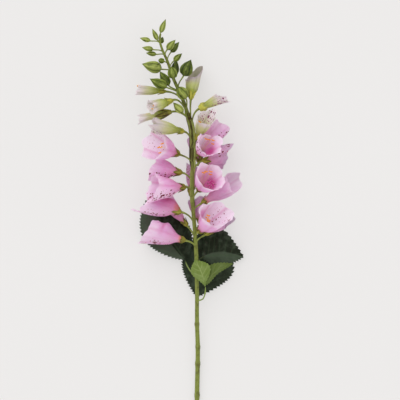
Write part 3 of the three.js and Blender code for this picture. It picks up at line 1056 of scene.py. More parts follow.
    def build(self) -> bpy.types.Object:
        """Draws the main stem and finishes it.

        Returns:
            One piece made of it and of every stalk, strand and bract that has been added to it.
        """
        self.draw_main()
        piece = self.draft.build("stem_and_stalks", mixed(Green.STEM.value))
        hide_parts("stem")
        return piece


# ---- flowers ----


@dataclass(frozen=True)
class BellPlan(Axes):
    """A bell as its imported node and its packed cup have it. Its front is its long lip.

    Attributes:
        neck, mouth: Its radius at the foot and at the mouth.
        reach: How much farther than its mouth its lip reaches.
        cup_depth, sepal_tip: How far back of its foot its cup goes, and how far forward the sepals do.
    """

    length: float
    neck: float
    mouth: float
    reach: float
    cup_depth: float
    sepal_tip: float

    # The share of the lip's reach that is a slant of the whole mouth, and the flare of the lip.
    SLANT = 0.45
    FLARE = 0.16
    # How much the bell has widened along its length, from its neck to its mouth.
    OUTLINE = [(0, 0), (0.18, 0.12), (0.42, 0.58), (0.72, 0.86), (1, 1)]
    # A packed cup's base is a ring of ten points and its middle.
    CUP_BASE_POINTS = 11
    # A packed bell has this many points in each direction round its axis.
    POINTS_EACH_WAY = 10

    @classmethod
    def measured(cls, name: str) -> "BellPlan":
        """Measures one flower's packed bell and cup.

        Args:
            name: The flower's name.

        Returns:
            Its plan.
        """
        bell, cup = node_points(f"bell_{name}"), node_points(f"calyx_{name}")
        away = np.linalg.norm(cup - bell.mean(0), axis=1)
        back = cup[np.argsort(away)[-cls.CUP_BASE_POINTS :]].mean(0)
        forward = unit(cup.mean(0) - back)
        start = ((bell - back) @ forward).min()
        foot = back + forward * start
        any_side = unit(np.cross(forward, [0.3, 0.5, 0.8]))
        other = np.cross(forward, any_side)
        local = np.stack([(bell - foot) @ any_side, (bell - foot) @ other, (bell - foot) @ forward], axis=1)
        out = np.hypot(local[:, 0], local[:, 1])
        local, out = local[out > 0.01], out[out > 0.01]
        angle = np.arctan2(local[:, 1], local[:, 0])
        ways = len(local) // cls.POINTS_EACH_WAY
        order = np.argsort((angle - angle[0] + math.pi / ways) % FULL_TURN).reshape(ways, -1)
        rim = [group[np.lexsort((out[group], local[group, 2].round(2)))[-1]] for group in order]
        high, turn = local[rim, 2], angle[rim]
        lip = (high * np.exp(1j * turn)).sum()
        front = any_side * lip.real + other * lip.imag
        toward = turn - np.angle(lip)
        first_wave = 2 * (high * np.cos(toward)).mean()
        reach = first_wave / (cls.SLANT + (1 - cls.SLANT) * 4 / (3 * math.pi))
        return cls(
            foot=foot,
            forward=forward,
            across=unit(front),
            length=high.mean() - reach * (1 - cls.SLANT) / 4,
            neck=out[np.abs(local[:, 2]) < 0.05].max(),
            mouth=out[rim][np.cos(toward) < -0.05].mean(),
            reach=reach,
            cup_depth=start,
            sepal_tip=((cup - foot) @ forward).max(),
        )


@dataclass(frozen=True)
class Patch:
    """A soft-edged part of a bell's wall with its own tone.

    Attributes:
        angle: Where its middle lies round the bell, in degrees from the lip.
        along: Where its middle lies, as a share of the length from neck to mouth.
        width: How far it spreads each way round, in degrees.
        reach: How far it spreads each way along, as a share of the length.
        blush_and_shade, pale, dots, ash: How much it adds of deep pink and painted shade, of paleness, spots
            and dull grey.
        swell, forward: How much farther out and farther forward it stands, in millimetres.
    """

    angle: float
    along: float
    width: float = 40.0
    reach: float = 0.25
    blush_and_shade: float = 0.0
    pale: float = 0.0
    dots: float = 0.0
    ash: float = 0.0
    swell: float = 0.0
    forward: float = 0.0

    def strength(self, along: Array, angle: Array) -> Array:
        """Returns how strongly it shows at places on the wall."""
        turn = (np.degrees(angle) - self.angle + 180) % 360 - 180
        return np.exp(-((turn / self.width) ** 2) - ((along - self.along) / self.reach) ** 2)


@dataclass(frozen=True)
class BellLook:
    """How one bell differs from a plain one. Sizes are in millimetres, and shares run from 0 to 1.

    Attributes:
        seed: Which waviness it has.
        lobes, curls: How much farther each of its five lobes reaches forward and outward, from the lip round.
        lip_narrow: How narrow the lip is: a power of the cosine.
        scallop, groove, flare, ruffle: How deep the notches, the grooves, the rolled rim and the waves are.
        blush_and_shade, pale, dots: How much deep pink and painted shade the throat has, how pale the rim, and
            how strong the spots are.
        dots_from, dots_spread, dots_out: Where the spots start, how far round, and how strong outside.
        sepal, sepal_open, olive: How long, how spread and how dark its sepals are.
        stamens, stamens_in: How far its stamens reach, and how far from the wall they stand.
        plump: How much wider it swells, where along its length, and how far that spreads each way.
        patches: Parts with their own tone.
    """

    seed: int = 1
    lobes: tuple[float, ...] = (0.0, 0.0, 0.0, 0.0, 0.0)
    curls: tuple[float, ...] = (0.0, 0.0, 0.0, 0.0, 0.0)
    lip_narrow: float = 2.0
    scallop: float = 1.7
    groove: float = 0.08
    flare: float = 1.2
    ruffle: float = 1.0
    blush_and_shade: float = 0.0
    pale: float = 0.4
    dots: float = 0.8
    dots_from: float = 0.35
    dots_spread: float = 1.0
    dots_out: float = 1.0
    sepal: float = 1.05
    sepal_open: float = 0.75
    olive: float = 0.55
    stamens: float = 1.0
    stamens_in: float = 1.0
    plump: tuple[float, float, float] = (0.0, 0.5, 0.3)
    patches: tuple[Patch, ...] = ()


@dataclass
class Flower:
    """One bell in its cup of sepals, with its stamens, on a stalk of the stem.

    Attributes:
        name, root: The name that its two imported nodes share, and the height where its stalk leaves the stem.
        wall, rim_share: How thick the wall is at the neck, and how much of that is left at the rim.
        outer_gap, rim_gap, inner_gap: How far above the table the wall's faces stay.
        rows, columns: How many rings each face of the bell has, and how many points each ring has.
        cup_rows, cup_columns, cup_floor: The same for its cup, and how far back its lining stops.
        full_mouth: The mouth's radius that waves and stamens are drawn for.
    """

    name: str
    root: float
    tint: Tint
    look: BellLook
    wall: float = 0.32
    rim_share: float = 0.55
    outer_gap: float = 0.2
    rim_gap: float = 0.28
    inner_gap: float = 0.35
    rows: int = 44
    columns: int = 100
    cup_rows: int = 22
    cup_columns: int = 60
    cup_floor: float = 0.28
    full_mouth: float = 17.0
    stalk_radius: float = 1.0
    stalk_head: float = 1.6
    thread_radius: float = 0.28
    style_radius: float = 0.3

    # Each stamen's turn from the bell's upper side, in radians, and how far forward it reaches.
    THREADS = ((-0.62, 0.6), (-0.24, 0.74), (0.24, 0.7), (0.62, 0.64))
    # Where stamens and style start, how far forward the style reaches and how far it stands from the wall.
    THREADS_FROM = 0.08
    STYLE_REACH = 0.8
    STYLE_INSET = 1.4

    def __post_init__(self) -> None:
        """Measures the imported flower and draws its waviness."""
        self.plan = BellPlan.measured(self.name)
        self.broad = Ripple(self.look.seed, 2, 5)
        self.middling = Ripple(self.look.seed + 50, 4, 8)
        self.fine = Ripple(self.look.seed + 100, 8, 15)
        self.size = self.plan.mouth / self.full_mouth

    def bell_radius(self, along: Array) -> Array:
        """Works out the bell's plain radius.

        Args:
            along: Fractions of the bell's length from neck to mouth.

        Returns:
            The radius at each.
        """
        plan = self.plan
        more, middle, spread = self.look.plump
        plain = plan.neck + (plan.mouth - plan.neck) * smooth(plan.OUTLINE, along)
        return plain + more * hill(along, middle, spread)

    def lobed(self, sizes: tuple[float, ...], angle: Array) -> Array:
        """Spreads five sizes over the five lobes, with a smooth change between them.

        Args:
            sizes: The lobes' sizes, from the lip round.
            angle: Angles from the middle of the lip.

        Returns:
            The size at each angle.
        """
        total = 0 * angle
        for number, size in enumerate(sizes):
            turn = (angle - number * FULL_TURN / LOBES + math.pi) % FULL_TURN - math.pi
            near = np.cos(np.clip(turn * 1.9, -math.pi / 2, math.pi / 2))
            total = total + size * np.maximum(0, near) ** 1.3
        return total

    def surface(self, along: Array, angle: Array) -> Array:
        """Shapes the bell's wall, in the bell's own axes.

        Args:
            along: Fractions of the bell's length from neck to mouth.
            angle: Angles from the middle of the lip.

        Returns:
            The wall's places, with a last axis of 3.
        """
        plan, look = self.plan, self.look
        along, angle = np.broadcast_arrays(along, angle)
        opening, rim = along**4, along**9
        front = np.cos(angle)
        lip = np.maximum(0, front) ** look.lip_narrow
        lobe = np.cos(LOBES * angle)
        wave = self.size * look.ruffle
        out = self.bell_radius(along) * (1 + opening * plan.FLARE * np.maximum(0, front) ** 2)
        out = out * (1 - look.groove * along**1.5 * (1 - lobe) / 2)
        out = out + self.size * look.flare * rim
        out = out + wave * along**1.6 * (1.3 * self.broad.at(along * 1.5, angle))
        out = out + wave * opening * 0.8 * self.middling.at(along * 2, angle)
        out = out + wave * rim * 0.9 * self.fine.at(along, angle)
        out = out + along**6 * self.lobed(look.curls, angle) - 0.55 * self.size * self.fold(along, angle)
        reach = plan.reach * (plan.SLANT * front + (1 - plan.SLANT) * lip)
        high = along * plan.length + opening * reach + self.size * look.scallop * along**7 * lobe
        high = high + along**5 * self.lobed(look.lobes, angle)
        high = high + wave * rim * 1.1 * self.fine.at(along + 1, angle)
        for patch in look.patches:
            shown = patch.strength(along, angle)
            out, high = out + patch.swell * shown, high + patch.forward * shown
        return round_axis(out, angle, high)

    def fold(self, along: Array, angle: Array) -> Array:
        """Works out the narrow lengthwise folds of the petal.

        Args:
            along, angle: Places on the wall.

        Returns:
            How deep the folds are there, from 0 to 1.
        """
        wander = self.middling.at(along * 1.2, 0 * angle) * 0.5
        lines = np.cos((LOBES * (angle + wander * along) - math.pi) / 2) ** 2
        more = np.maximum(0, self.fine.at(along * 1.4 + 2, angle)) ** 3
        reach = fade(0.1, 0.45, along)
        return reach * np.clip(lines**14 + 0.8 * more, 0, 1)

    def placed(self, local: Array, gap: float) -> Array:
        """Puts points of the bell in the frame, and presses those that would sink in the table flat on it."""
        points = self.plan.place(local)
        return np.maximum(points, [-np.inf, -np.inf, gap])

    def normals(self, along: Array, angle: Array) -> Array:
        """Works out which way is out of the wall.

        Args:
            along, angle: Places on the wall.

        Returns:
            The direction at each, in the bell's own axes.
        """
        step = 1e-3
        ahead, behind = np.minimum(along + step, 1), np.maximum(along - step, 0)
        up = self.surface(ahead, angle) - self.surface(behind, angle)
        around = self.surface(along, angle + step) - self.surface(along, angle - step)
        return unit(np.cross(around, up))

    def figures(self, along: Array, angle: Array, inside: float) -> dict[str, Array]:
        """Works out the figures painted on the wall.

        Args:
            along, angle: Places on the wall.
            inside: 1 on its inner face and 0 on its outer.

        Returns:
            The figures by name.
        """
        look = self.look
        along, angle = np.broadcast_arrays(along, angle)
        front = np.cos(angle)
        waves = 0.15 * self.broad.at(along, angle)
        near_lip = fade(1.0 - look.dots_spread, 1.0, front + waves)
        dots = look.dots * near_lip * fade(look.dots_from - 0.1, look.dots_from + 0.15, along + waves)
        dots = dots * (1 - 0.5 * fade(0.95, 1.0, along)) * (inside + (1 - inside) * look.dots_out)
        # Deep pink towards the throat; patches add to it, some as painted shade where a crease or a bell above
        # darkens the wall.
        blush_and_shade = look.blush_and_shade * (0.25 + 0.75 * inside) * fade(1.0, 0.35, along) * fade(0.08, 0.25, along)
        pale = look.pale * fade(0.7, 1.0, along + waves)
        pale = pale + inside * (0.3 + 0.35 * look.pale) * fade(0.1, 0.7, along)
        ash = 0 * along
        for patch in look.patches:
            shown = patch.strength(along, angle)
            blush_and_shade, pale = blush_and_shade + patch.blush_and_shade * shown, pale + patch.pale * shown
            dots, ash = dots + patch.dots * shown, ash + patch.ash * shown
        return lengthwise(angle, along * self.plan.length) | {
            "along": along,
            "radius": self.bell_radius(along),
            "blush_and_shade": np.clip(blush_and_shade, 0, 1),
            # Painted shade along the folds, a little stronger inside.
            "fold": self.fold(along, angle) * (0.35 + 0.3 * inside),
            "pale": np.clip(pale, 0, 1),
            "ash": np.clip(ash, 0, 1),
            "dots": np.clip(dots, 0, 1.4),
            "seed": np.full(along.shape, float(look.seed)),
        }

    def build_bell(self) -> bpy.types.Object:
        """Makes the bell: an outer and an inner face joined by a rounded rim, closed at the neck.

        Returns:
            The bell.
        """
        draft = Draft()
        along = (np.linspace(0, 1, self.rows) ** 0.85)[:, None]
        angle = round_turn(self.columns)
        middle, out = self.surface(along, angle), self.normals(along, angle)
        half = self.wall / 2 * (1 - (1 - self.rim_share) * along[..., None])
        ahead = unit(self.surface(1.0, angle) - self.surface(0.97, angle))
        crest = self.surface(1.0, angle) + ahead * half[-1:]
        outer = self.placed(middle + out * half, self.outer_gap)
        inner = self.placed(middle - out * half, self.inner_gap)
        outside = draft.add(outer, **self.figures(along, angle, 0.0))
        rim = draft.add(self.placed(crest, self.rim_gap), **self.figures(np.ones((1, 1)), angle, 0.5))
        inside = draft.add(inner[::-1], **self.figures(along[::-1], angle, 1.0))
        draft.cover(np.vstack([outside, rim, inside]), around=True)
        draft.close(outside[0], outer[0].mean(0), seed=self.look.seed)
        draft.close(inside[-1], inner[0].mean(0) + self.plan.forward * self.wall, seed=self.look.seed)
        piece = draft.build(f"{self.name}_bell", mixed(self.tint.value))
        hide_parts(f"bell_{self.name}")
        return piece

    def cup_radius(self, height: Array, tip: Array) -> Array:
        """Returns the outer radius of the cup.

        Args:
            height: How far forward of the bell's foot.
            tip: How much of the way from a valley to a sepal's tip.

        Returns:
            The radius.
        """
        plan = self.plan
        deep, neck = plan.cup_depth, plan.neck
        shoulder, waist = (-0.75 * deep, 0.45 * neck + 0.9), (-0.3 * deep, 0.85 * neck + 0.6)
        back = [(-deep, 1.5), shoulder, waist, (0, neck + 0.8)]
        hull = smooth(back, np.minimum(height, 0))
        ahead = self.bell_radius(np.clip(height / plan.length, 0, 1)) - neck
        return hull + ahead + 1.6 * self.look.sepal_open * tip**2 * fade(0, plan.sepal_tip, height)

    def build_cup(self) -> bpy.types.Object:
        """Makes the calyx: a closed cup whose wall ends in five pointed, ridged sepals.

        Returns:
            The calyx.
        """
        plan, look = self.plan, self.look
        draft = Draft()
        angle = round_turn(self.cup_columns)
        # How far each side of the cup reaches, from 0 in a valley to 1 at a sepal's tip.
        edge = (1 - from_whole(angle * LOBES / FULL_TURN) ** 1.15) ** 0.8
        uneven = 1 + 0.2 * self.broad.at(0, angle)
        share = np.linspace(0, 1, self.cup_rows)[:, None]
        valley = 0.3 * plan.sepal_tip
        top = valley + (plan.sepal_tip * look.sepal * uneven - valley) * edge
        ridge = np.cos(LOBES * angle) * 0.5 + 0.5
        height = -plan.cup_depth + share * (top + plan.cup_depth)
        tip = edge * share
        outside = self.cup_radius(height, tip) + 0.3 * ridge**3 * fade(0.1, 0.5, share)
        outside = outside - 0.2 * fade(0.8, 1, share)
        thin = 0.75 - 0.5 * share
        lined_from = 0.3
        inner_share = share[::-1]
        inner_height = np.maximum(-self.cup_floor, height[::-1])
        inside = self.cup_radius(inner_height, tip[::-1]) - thin[::-1] - 0.1
        rows = fade(0.2, 0.45, inner_share)
        inside = inside * rows + (1 - rows) * np.minimum(inside, plan.neck * inner_share / lined_from)
        dark = look.olive * (0.3 + 0.7 * fade(0.25, 1, share)) + 0.3 * (1 - edge) * share
        paint = lengthwise(angle, height) | {
            "light": np.clip(0.7 * ridge**4 - 0.3 * look.olive, 0, 1) + 0 * share,
            "dark": np.clip(dark, 0, 1),
        }
        first = draft.add(plan.place(round_axis(outside, angle, height)), **paint)
        kept = inner_share[:, 0] > lined_from
        flipped = {name: values[::-1][kept] for name, values in paint.items()} | {"run": inner_height[kept]}
        second = draft.add(plan.place(round_axis(inside, angle, inner_height)[kept]), **flipped)
        draft.cover(np.vstack([first, second]), around=True)
        draft.close(first[0], plan.place(np.array([0, 0, -plan.cup_depth])))
        draft.close(second[-1], plan.place(np.array([0, 0, -self.cup_floor])))
        piece = draft.build(f"{self.name}_calyx", mixed(Green.CALYX.value))
        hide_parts(f"calyx_{self.name}")
        return piece

    def build_stamens(self) -> bpy.types.Object:
        """Makes four stamens that lie along the bell's upper side, and the style between them.

        Returns:
            One piece made of them.
        """
        draft = Draft()
        for turn, reach in self.THREADS:
            share = np.linspace(self.THREADS_FROM, reach * self.look.stamens, 20)
            inset = (1.2 + 2.2 * share) * self.look.stamens_in
            line = self.thread_line(share, math.pi + turn * (1 - 0.35 * share), inset)
            self.thread(draft, line, self.thread_radius, 0.0)
            self.anther(draft, line)
        share = np.linspace(self.THREADS_FROM, self.STYLE_REACH * self.look.stamens, 22)
        line = self.thread_line(share, np.full_like(share, math.pi), np.full_like(share, self.STYLE_INSET))
        self.thread(draft, line, self.style_radius, 0.15)
        return draft.build(f"{self.name}_stamens", mixed(STAMENS))

    def thread_line(self, share: Array, angle: Array, inset: Array) -> Line:
        """Lays a thread along the inside of the wall, and straight on past the mouth.

        Args:
            share: How far forward its points lie, as fractions of the bell's length.
            angle: Their angles from the middle of the lip.
            inset: How far they stand from the wall.

        Returns:
            The thread's line.
        """
        on_wall = np.minimum(share, 1.0)
        wall, out = self.surface(on_wall, angle), self.normals(on_wall, angle)
        wall[:, 2] += np.maximum(0, share - 1) * self.plan.length
        return Line(self.plan.place(wall - out * inset[:, None] * self.size))

    def thread(self, draft: Draft, line: Line, radius: float, pollen: float) -> None:
        """Draws a thin thread with a rounded end, dusted with pollen."""
        radii = np.append(np.full(len(line.points) - 1, radius), radius * 0.5)
        draft.rod(line.tube(radii[:, None], 8), {"pollen": pollen}, [{"pollen": pollen}] * 2)

    def anther(self, draft: Draft, line: Line) -> None:
        """Draws the two plump halves of a pollen head at the end of a thread.

        Args:
            draft: The stamens' mesh.
            line: The thread's line.
        """
        end, ahead = line.points[-1], line.forward()[-1]
        across, other = (side[-1] for side in line.sides())
        scale = self.size**0.5
        spread, long, thick, flatness = 1.15, 1.8 * scale, 1.0 * scale, 0.7
        share = np.linspace(0, 1, 12)[:, None]
        angle = round_turn(14)
        bulge = np.sin(math.pi * np.clip(share, 0.02, 0.98)) ** 0.7 * (1 - 0.16 * (np.cos(angle) > 0.9))
        for side in (-1, 1):
            axis = unit(ahead * 0.4 + across * side)
            centre = end + axis * spread * scale
            flat = unit(np.cross(axis, other))
            ring = flat * np.cos(angle)[..., None] + other * flatness * np.sin(angle)[..., None]
            grid = centre + axis * ((share - 0.5) * 2 * long)[..., None] + ring * (thick * bulge)[..., None]
            draft.rod(grid, {"pollen": 1.0}, [{"pollen": 1.0}] * 2)

    def build(self, stem: Stem) -> Pieces:
        """Builds the flower and its stalk.

        Args:
            stem: The stem that carries it.

        Returns:
            Each piece with its material slot.
        """
        plan = self.plan
        back = plan.foot - plan.forward * plan.cup_depth
        stem.add_stalk(self.root, back, plan.forward, self.stalk_radius, self.stalk_head)
        return [
            (self.build_cup(), Green.CALYX.value.slot),
            (self.build_bell(), self.tint.value.slot),
            (self.build_stamens(), STAMENS.slot),
        ]


# ---- buds ----


@dataclass(frozen=True)
class BudLook:
    """How much lighter, darker and blunter than a plain bud one bud is, each from 0 to 1."""

    light: float = 0.0
    dark: float = 0.0
    blunt: float = 0.0


@dataclass(frozen=True)
class BudSpot:
    """Where a small bud is. Its foot and tip are given from the table under the middle of the stem's cut."""

    root: float
    foot: Place
    tip: Place
    radius: float
    look: BudLook


@dataclass
class Bud:
    """A closed bud: five sepals that overlap a little and meet in a point.

    Attributes:
        root: The height on the stem that its stalk grows from.
        axes: Where it starts and points.
        node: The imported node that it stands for, if it has one of its own.
    """

    name: str
    root: float
    axes: Axes
    length: float
    radius: float
    stalk_radius: float
    look: BudLook
    node: str = ""
    rows: int = 40
    columns: int = 80

    # The bud's radius along it, as shares of its length and of its greatest radius.
    OUTLINE = [
        (0, 0.22), (0.05, 0.5), (0.14, 0.82), (0.36, 1), (0.62, 0.78), (0.85, 0.34), (0.95, 0.12), (1, 0.03)
    ]
    # A packed bud's points lie this much farther out than the radius that is drawn.
    PACKED_OUT = 1.08
    # The head of a stalk is this much wider than the stalk.
    STALK_HEAD = 1.35

    @classmethod
    def packed(cls, node: str, root: float, look: BudLook) -> "Bud":
        """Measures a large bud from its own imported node.

        Args:
            node: The node's name.
            root: The height on the stem that its stalk grows from.
            look: How it differs from a plain bud.

        Returns:
            The bud.
        """
        points = node_points(node)
        middle = points.mean(0)
        axis = np.linalg.eigh(np.cov((points - middle).T))[1][:, -1]
        high = (points - middle) @ axis
        out = np.linalg.norm(points - middle - high[:, None] * axis, axis=1)
        if (out * high).sum() > 0:
            axis, high = -axis, -high
        axes = Axes.aimed(middle + axis * high.min(), middle + axis * high.max())
        length, radius = float(high.max() - high.min()), float(out.max()) / cls.PACKED_OUT
        return cls(node, root, axes, length, radius, 0.8, look, node)

    @classmethod
    def small(cls, stem: Stem, number: int, spot: BudSpot) -> "Bud":
        """Lays out a small bud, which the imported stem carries.

        Args:
            stem: The stem.
            number: The bud's number, for its name.
            spot: Where it is.

        Returns:
            The bud.
        """
        foot, tip = (stem.origin + np.array(place, float) for place in (spot.foot, spot.tip))
        axes, length = Axes.aimed(foot, tip), float(np.linalg.norm(tip - foot))
        return cls(f"small_bud_{number}", spot.root, axes, length, spot.radius, 0.7, spot.look)

    def build(self, stem: Stem) -> Pieces:
        """Builds the bud and its stalk.

        Args:
            stem: The stem that carries it.

        Returns:
            The bud with its material slot.
        """
        foot, forward, look = self.axes.foot, self.axes.forward, self.look
        stem.add_stalk(self.root, foot, forward, self.stalk_radius, self.stalk_radius * self.STALK_HEAD)
        draft = Draft()
        share = (np.linspace(0, 1, self.rows) ** 0.9)[:, None]
        angle = round_turn(self.columns)
        turned = angle + math.pi / LOBES + 0.4 * (share - 0.3)
        sector = (turned * LOBES / FULL_TURN) % 1
        seam = np.minimum(sector, 1 - sector) * 2
        ridge, groove = seam**1.5, hill(seam, 0, 0.12)
        midrib, side = hill(seam, 1, 0.16), fade(0.45, 0.05, seam)
        width = smooth(self.OUTLINE, share[:, 0])[:, None]
        width = width + look.blunt * 0.28 * fade(0.3, 0.75, share) * (1 - fade(0.86, 1, share))
        overlap = (sector - 0.5) * 0.07
        out = self.radius * width * (0.97 + 0.1 * ridge + overlap - 0.07 * groove * fade(0, 0.2, share))
        waves = Ripple(len(self.name) + int(self.root), 2, 6)
        out = out * (1 + 0.025 * waves.at(share * 3, angle))
        # Painted highlight along each sepal's middle and crest, and painted shade at its edges and in the
        # grooves between sepals.
        paint = lengthwise(turned, share * self.length) | {
            "light": np.clip(look.light + 0.22 * midrib + 0.25 * ridge - 0.2 * share, 0, 1),
            "dark": np.clip(look.dark + 0.32 * side + 0.45 * groove + 0.35 * fade(0.8, 1, share), 0, 1),
        }
        grid, tip = self.axes.place(round_axis(out, angle, share * self.length)), self.length + 0.3
        draft.rod(grid, paint, [{"dark": 0.5}, {"dark": 0.6}], ends=[foot, foot + forward * tip])
        piece = draft.build(f"{self.name}_sepals", mixed(Green.BUD.value))
        if self.node:
            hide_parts(self.node)
        return [(piece, Green.BUD.value.slot)]


# ---- leaves ----


@dataclass(frozen=True)
class Blade:
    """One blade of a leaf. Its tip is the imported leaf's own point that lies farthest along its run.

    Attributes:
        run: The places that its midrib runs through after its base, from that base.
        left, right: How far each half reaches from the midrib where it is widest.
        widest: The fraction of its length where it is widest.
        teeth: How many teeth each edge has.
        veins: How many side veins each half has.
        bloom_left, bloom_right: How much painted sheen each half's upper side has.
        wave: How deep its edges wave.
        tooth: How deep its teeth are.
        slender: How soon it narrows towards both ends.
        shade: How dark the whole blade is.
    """

    run: tuple[Place, ...]
    left: Place
    right: Place
    widest: float
    teeth: int
    veins: int = 7
    bloom_left: float = 0.0
    bloom_right: float = 0.0
    wave: float = 0.8
    tooth: float = 1.5
    slender: float = 0.8
    shade: float = 0.0


@dataclass
class Leaf:
    """A leaf: one or two toothed, veined blades on a thin stalk.

    Attributes:
        name, foliage: The leaf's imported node, and which kind of leaf it is.
        height, side: The height on the stem that it grows from, and the way it leaves the stem there.
        stalk_run: The places that its stalk runs through, from the table under the middle of the cut.
        floor: How far above the table its under side stays.
        tooth_rows: How many rows of points a blade has to each tooth.
        narrowest: The least width of a blade against its widest.
        tooth_rise: The share of a tooth's length on which it rises to its point.
    """

    name: str
    foliage: Foliage
    height: float
    side: Place
    stalk_run: tuple[Place, ...]
    blades: tuple[Blade, ...]
    thickness: float = 0.34
    stalk_radius: float = 1.05
    stalk_light: float = 1.0
    floor: float = 0.25
    tooth_rows: int = 9
    narrowest: float = 0.012
    tooth_rise: float = 0.72

    def half_width(self, along: Array, blade: Blade) -> Array:
        """Returns a blade's width against its widest: round at the base and pointed at the tip."""
        bulge = math.log(0.5) / math.log(blade.widest)
        return np.sin(math.pi * np.clip(along, 0, 1) ** bulge) ** blade.slender

    def draw_blade(self, draft: Draft, blade: Blade, points: Array, seed: int) -> Array:
        """Draws one blade.

        Args:
            draft: The leaf's mesh.
            blade: The blade.
            points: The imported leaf's points.
            seed: Which waviness it has.

        Returns:
            The place of its base.
        """
        run, steps = np.array(blade.run, float), 801
        base = points[np.argmax(points @ unit(run[-1]))] - run[-1]
        fine = Line.through(np.vstack([base, base + run]), steps)
        along = (1 - np.cos(np.linspace(0, math.pi, blade.teeth * self.tooth_rows + 1))) / 2
        places = [np.interp(along * (steps - 1), np.arange(steps), column) for column in fine.points.T]
        midrib = np.stack(places, axis=1)
        along = along[:, None]
        across = self.across_places()[None]
        reach = np.where(across[..., None] < 0, np.array(blade.left), np.array(blade.right))
        width = np.maximum(self.half_width(along, blade), self.narrowest)
        step = unit(np.gradient(midrib, axis=0))[:, None]
        up = unit(np.cross(np.array(blade.right, float) - np.array(blade.left, float), step[:, 0]))
        flat = midrib[:, None] + reach * (np.abs(across) * width)[..., None]
        for side, columns in ((0, across[0] < 0), (-1, across[0] > 0)):
            push = self.teeth(flat[:, side], reach[0, side], up, blade)
            flat[:, columns] += push[:, None] * fade(0.8, 1, np.abs(across[:, columns]))[..., None]
        up = np.where(up[:, 2:] < 0, -up, up)[:, None]
        vein, relief = self.relief(blade, along, across, seed)
        top = flat + up * (relief + self.thickness / 2)[..., None]
        bottom = flat + up * (relief - self.thickness / 2)[..., None]
        top[..., 2] = np.maximum(top[..., 2], self.floor + self.thickness)
        bottom[..., 2] = np.maximum(bottom[..., 2], self.floor)
        # Painted sheen on each half's upper side; the under side is evenly paler.
        bloom = np.where(across < -0.1, blade.bloom_left, blade.bloom_right) + 0 * along
        upper = draft.add(top, vein=vein, bloom=bloom, shade=blade.shade)
        under = draft.add(bottom[:, ::-1], vein=vein[:, ::-1] * 0.6, bloom=0.5, shade=blade.shade)
        draft.cover(np.hstack([upper, under]), around=True)
        for end in (0, -1):
            draft.cover(np.vstack([upper[end], under[end][::-1]]), around=False)
        return base

    def teeth(self, edge: Array, reach: Array, up: Array, blade: Blade) -> Array:
        """Works out how far each place on a blade's edge moves to give it pointed teeth.

        Args:
            edge: The plain edge from base to tip.
            reach: The way from the midrib to that edge.
            up: The way up from the blade at each place.
            blade: The blade.

        Returns:
            The moves.
        """
        line = Line(edge)
        run = line.lengths()[:, None]
        forward = unit(line.forward())
        out = unit(np.cross(forward, up))
        out = out * np.sign((out @ reach).sum())
        turn = (run / run[-1] * blade.teeth + 0.25 * np.sin(run / 7)) % 1
        saw = np.minimum(turn / self.tooth_rise, (1 - turn) / (1 - self.tooth_rise))
        ends = fade(0, 0.05, run / run[-1]) * fade(1, 0.97, run / run[-1])
        return (out * (saw - 0.45) + forward * saw * 0.35) * blade.tooth * ends

    def across_places(self) -> Array:
        """Returns the places across a blade from -1 to 1, closer together at its edges and midrib."""
        half = np.hstack([np.linspace(*part)[1:] for part in ((0, 0.1, 4), (0.1, 0.78, 14), (0.78, 1, 6))])
        return np.hstack([-half[::-1], 0, half])

    def relief(self, blade: Blade, along: Array, across: Array, seed: int) -> tuple[Array, Array]:
        """Works out the pressed veins and the puffs between them.

        Args:
            blade: The blade.
            along, across: Places on it.
            seed: Which waviness it has.

        Returns:
            How strongly a vein shows at each place, and its height.
        """
        out = np.abs(across)
        slanted = along * blade.veins - out * 1.5 - 0.15 * np.sign(across)
        from_vein = from_whole(slanted)
        side_vein = hill(from_vein, 0, 0.13) * fade(0.02, 0.12, out) * (1 - 0.6 * out)
        midrib = hill(out, 0, 0.045)
        vein = np.clip(side_vein + midrib, 0, 1)
        waves = Ripple(seed, 2, 5)
        roll = blade.wave * out**2 * waves.at(along * 2, along * 6 + across)
        small = Ripple(seed + 9, 9, 17).at(across * 3, along * 4)
        inner = fade(0, 0.3, out)
        puff = 0.5 * np.sqrt(from_vein + 0.02) * inner * fade(1, 0.7, out) + 0.12 * small * inner
        narrow = fade(0, 0.15, along) * fade(1, 0.9, along)
        return vein * narrow, (puff + roll - 0.35 * midrib) * narrow

    def draw_stalk(self, draft: Draft, stem: Stem, bases: list[Array]) -> None:
        """Draws the leaf's own stalk, from the side of the stem to the base of its first blade.

        Args:
            draft: The leaf's mesh.
            stem: The stem that carries it.
            bases: Where its blades start.
        """
        root, _ = stem.at(self.height)
        out = unit(np.array(self.side, float))
        seat = root + out * stem.radius(np.array([self.height]))[0]
        way = [stem.origin + np.array(place, float) for place in self.stalk_run]
        line = Line.through(np.vstack([root, seat + out * 1.1, *way, bases[0]]), 46)
        share = np.linspace(0, 1, len(line.points))
        outline = [(0, 1.5), (0.1, 1.15), (0.3, 0.92), (0.8, 0.85), (1, 0.4)]
        grid = line.tube((smooth(outline, share) * self.stalk_radius)[:, None], 14)
        light = (self.stalk_light * fade(1.0, 0.75, share))[:, None]
        paint = {"stalk": light if self.foliage is Foliage.DARK else 1.0}
        draft.rod(grid, paint, [{"stalk": self.stalk_light}, {}])

    def build(self, stem: Stem) -> Pieces:
        """Builds the leaf.

        Args:
            stem: The stem that carries it.

        Returns:
            The leaf with its material slot.
        """
        draft = Draft()
        points = node_points(self.name)
        bases = [self.draw_blade(draft, blade, points, 31 + 7 * n) for n, blade in enumerate(self.blades)]
        self.draw_stalk(draft, stem, bases)
        finish = self.foliage.value
        piece = draft.build(f"{self.name}_blade", mixed(finish))
        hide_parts(self.name)
        return [(piece, finish.slot)]


# ---- studio ----


@dataclass(frozen=True)
class Lamp:
    """A far lamp: its strength, how wide it looks, and how far it leans back and to the right, in degrees."""

    name: str
    strength: float
    spread: float
    back: float
    right: float


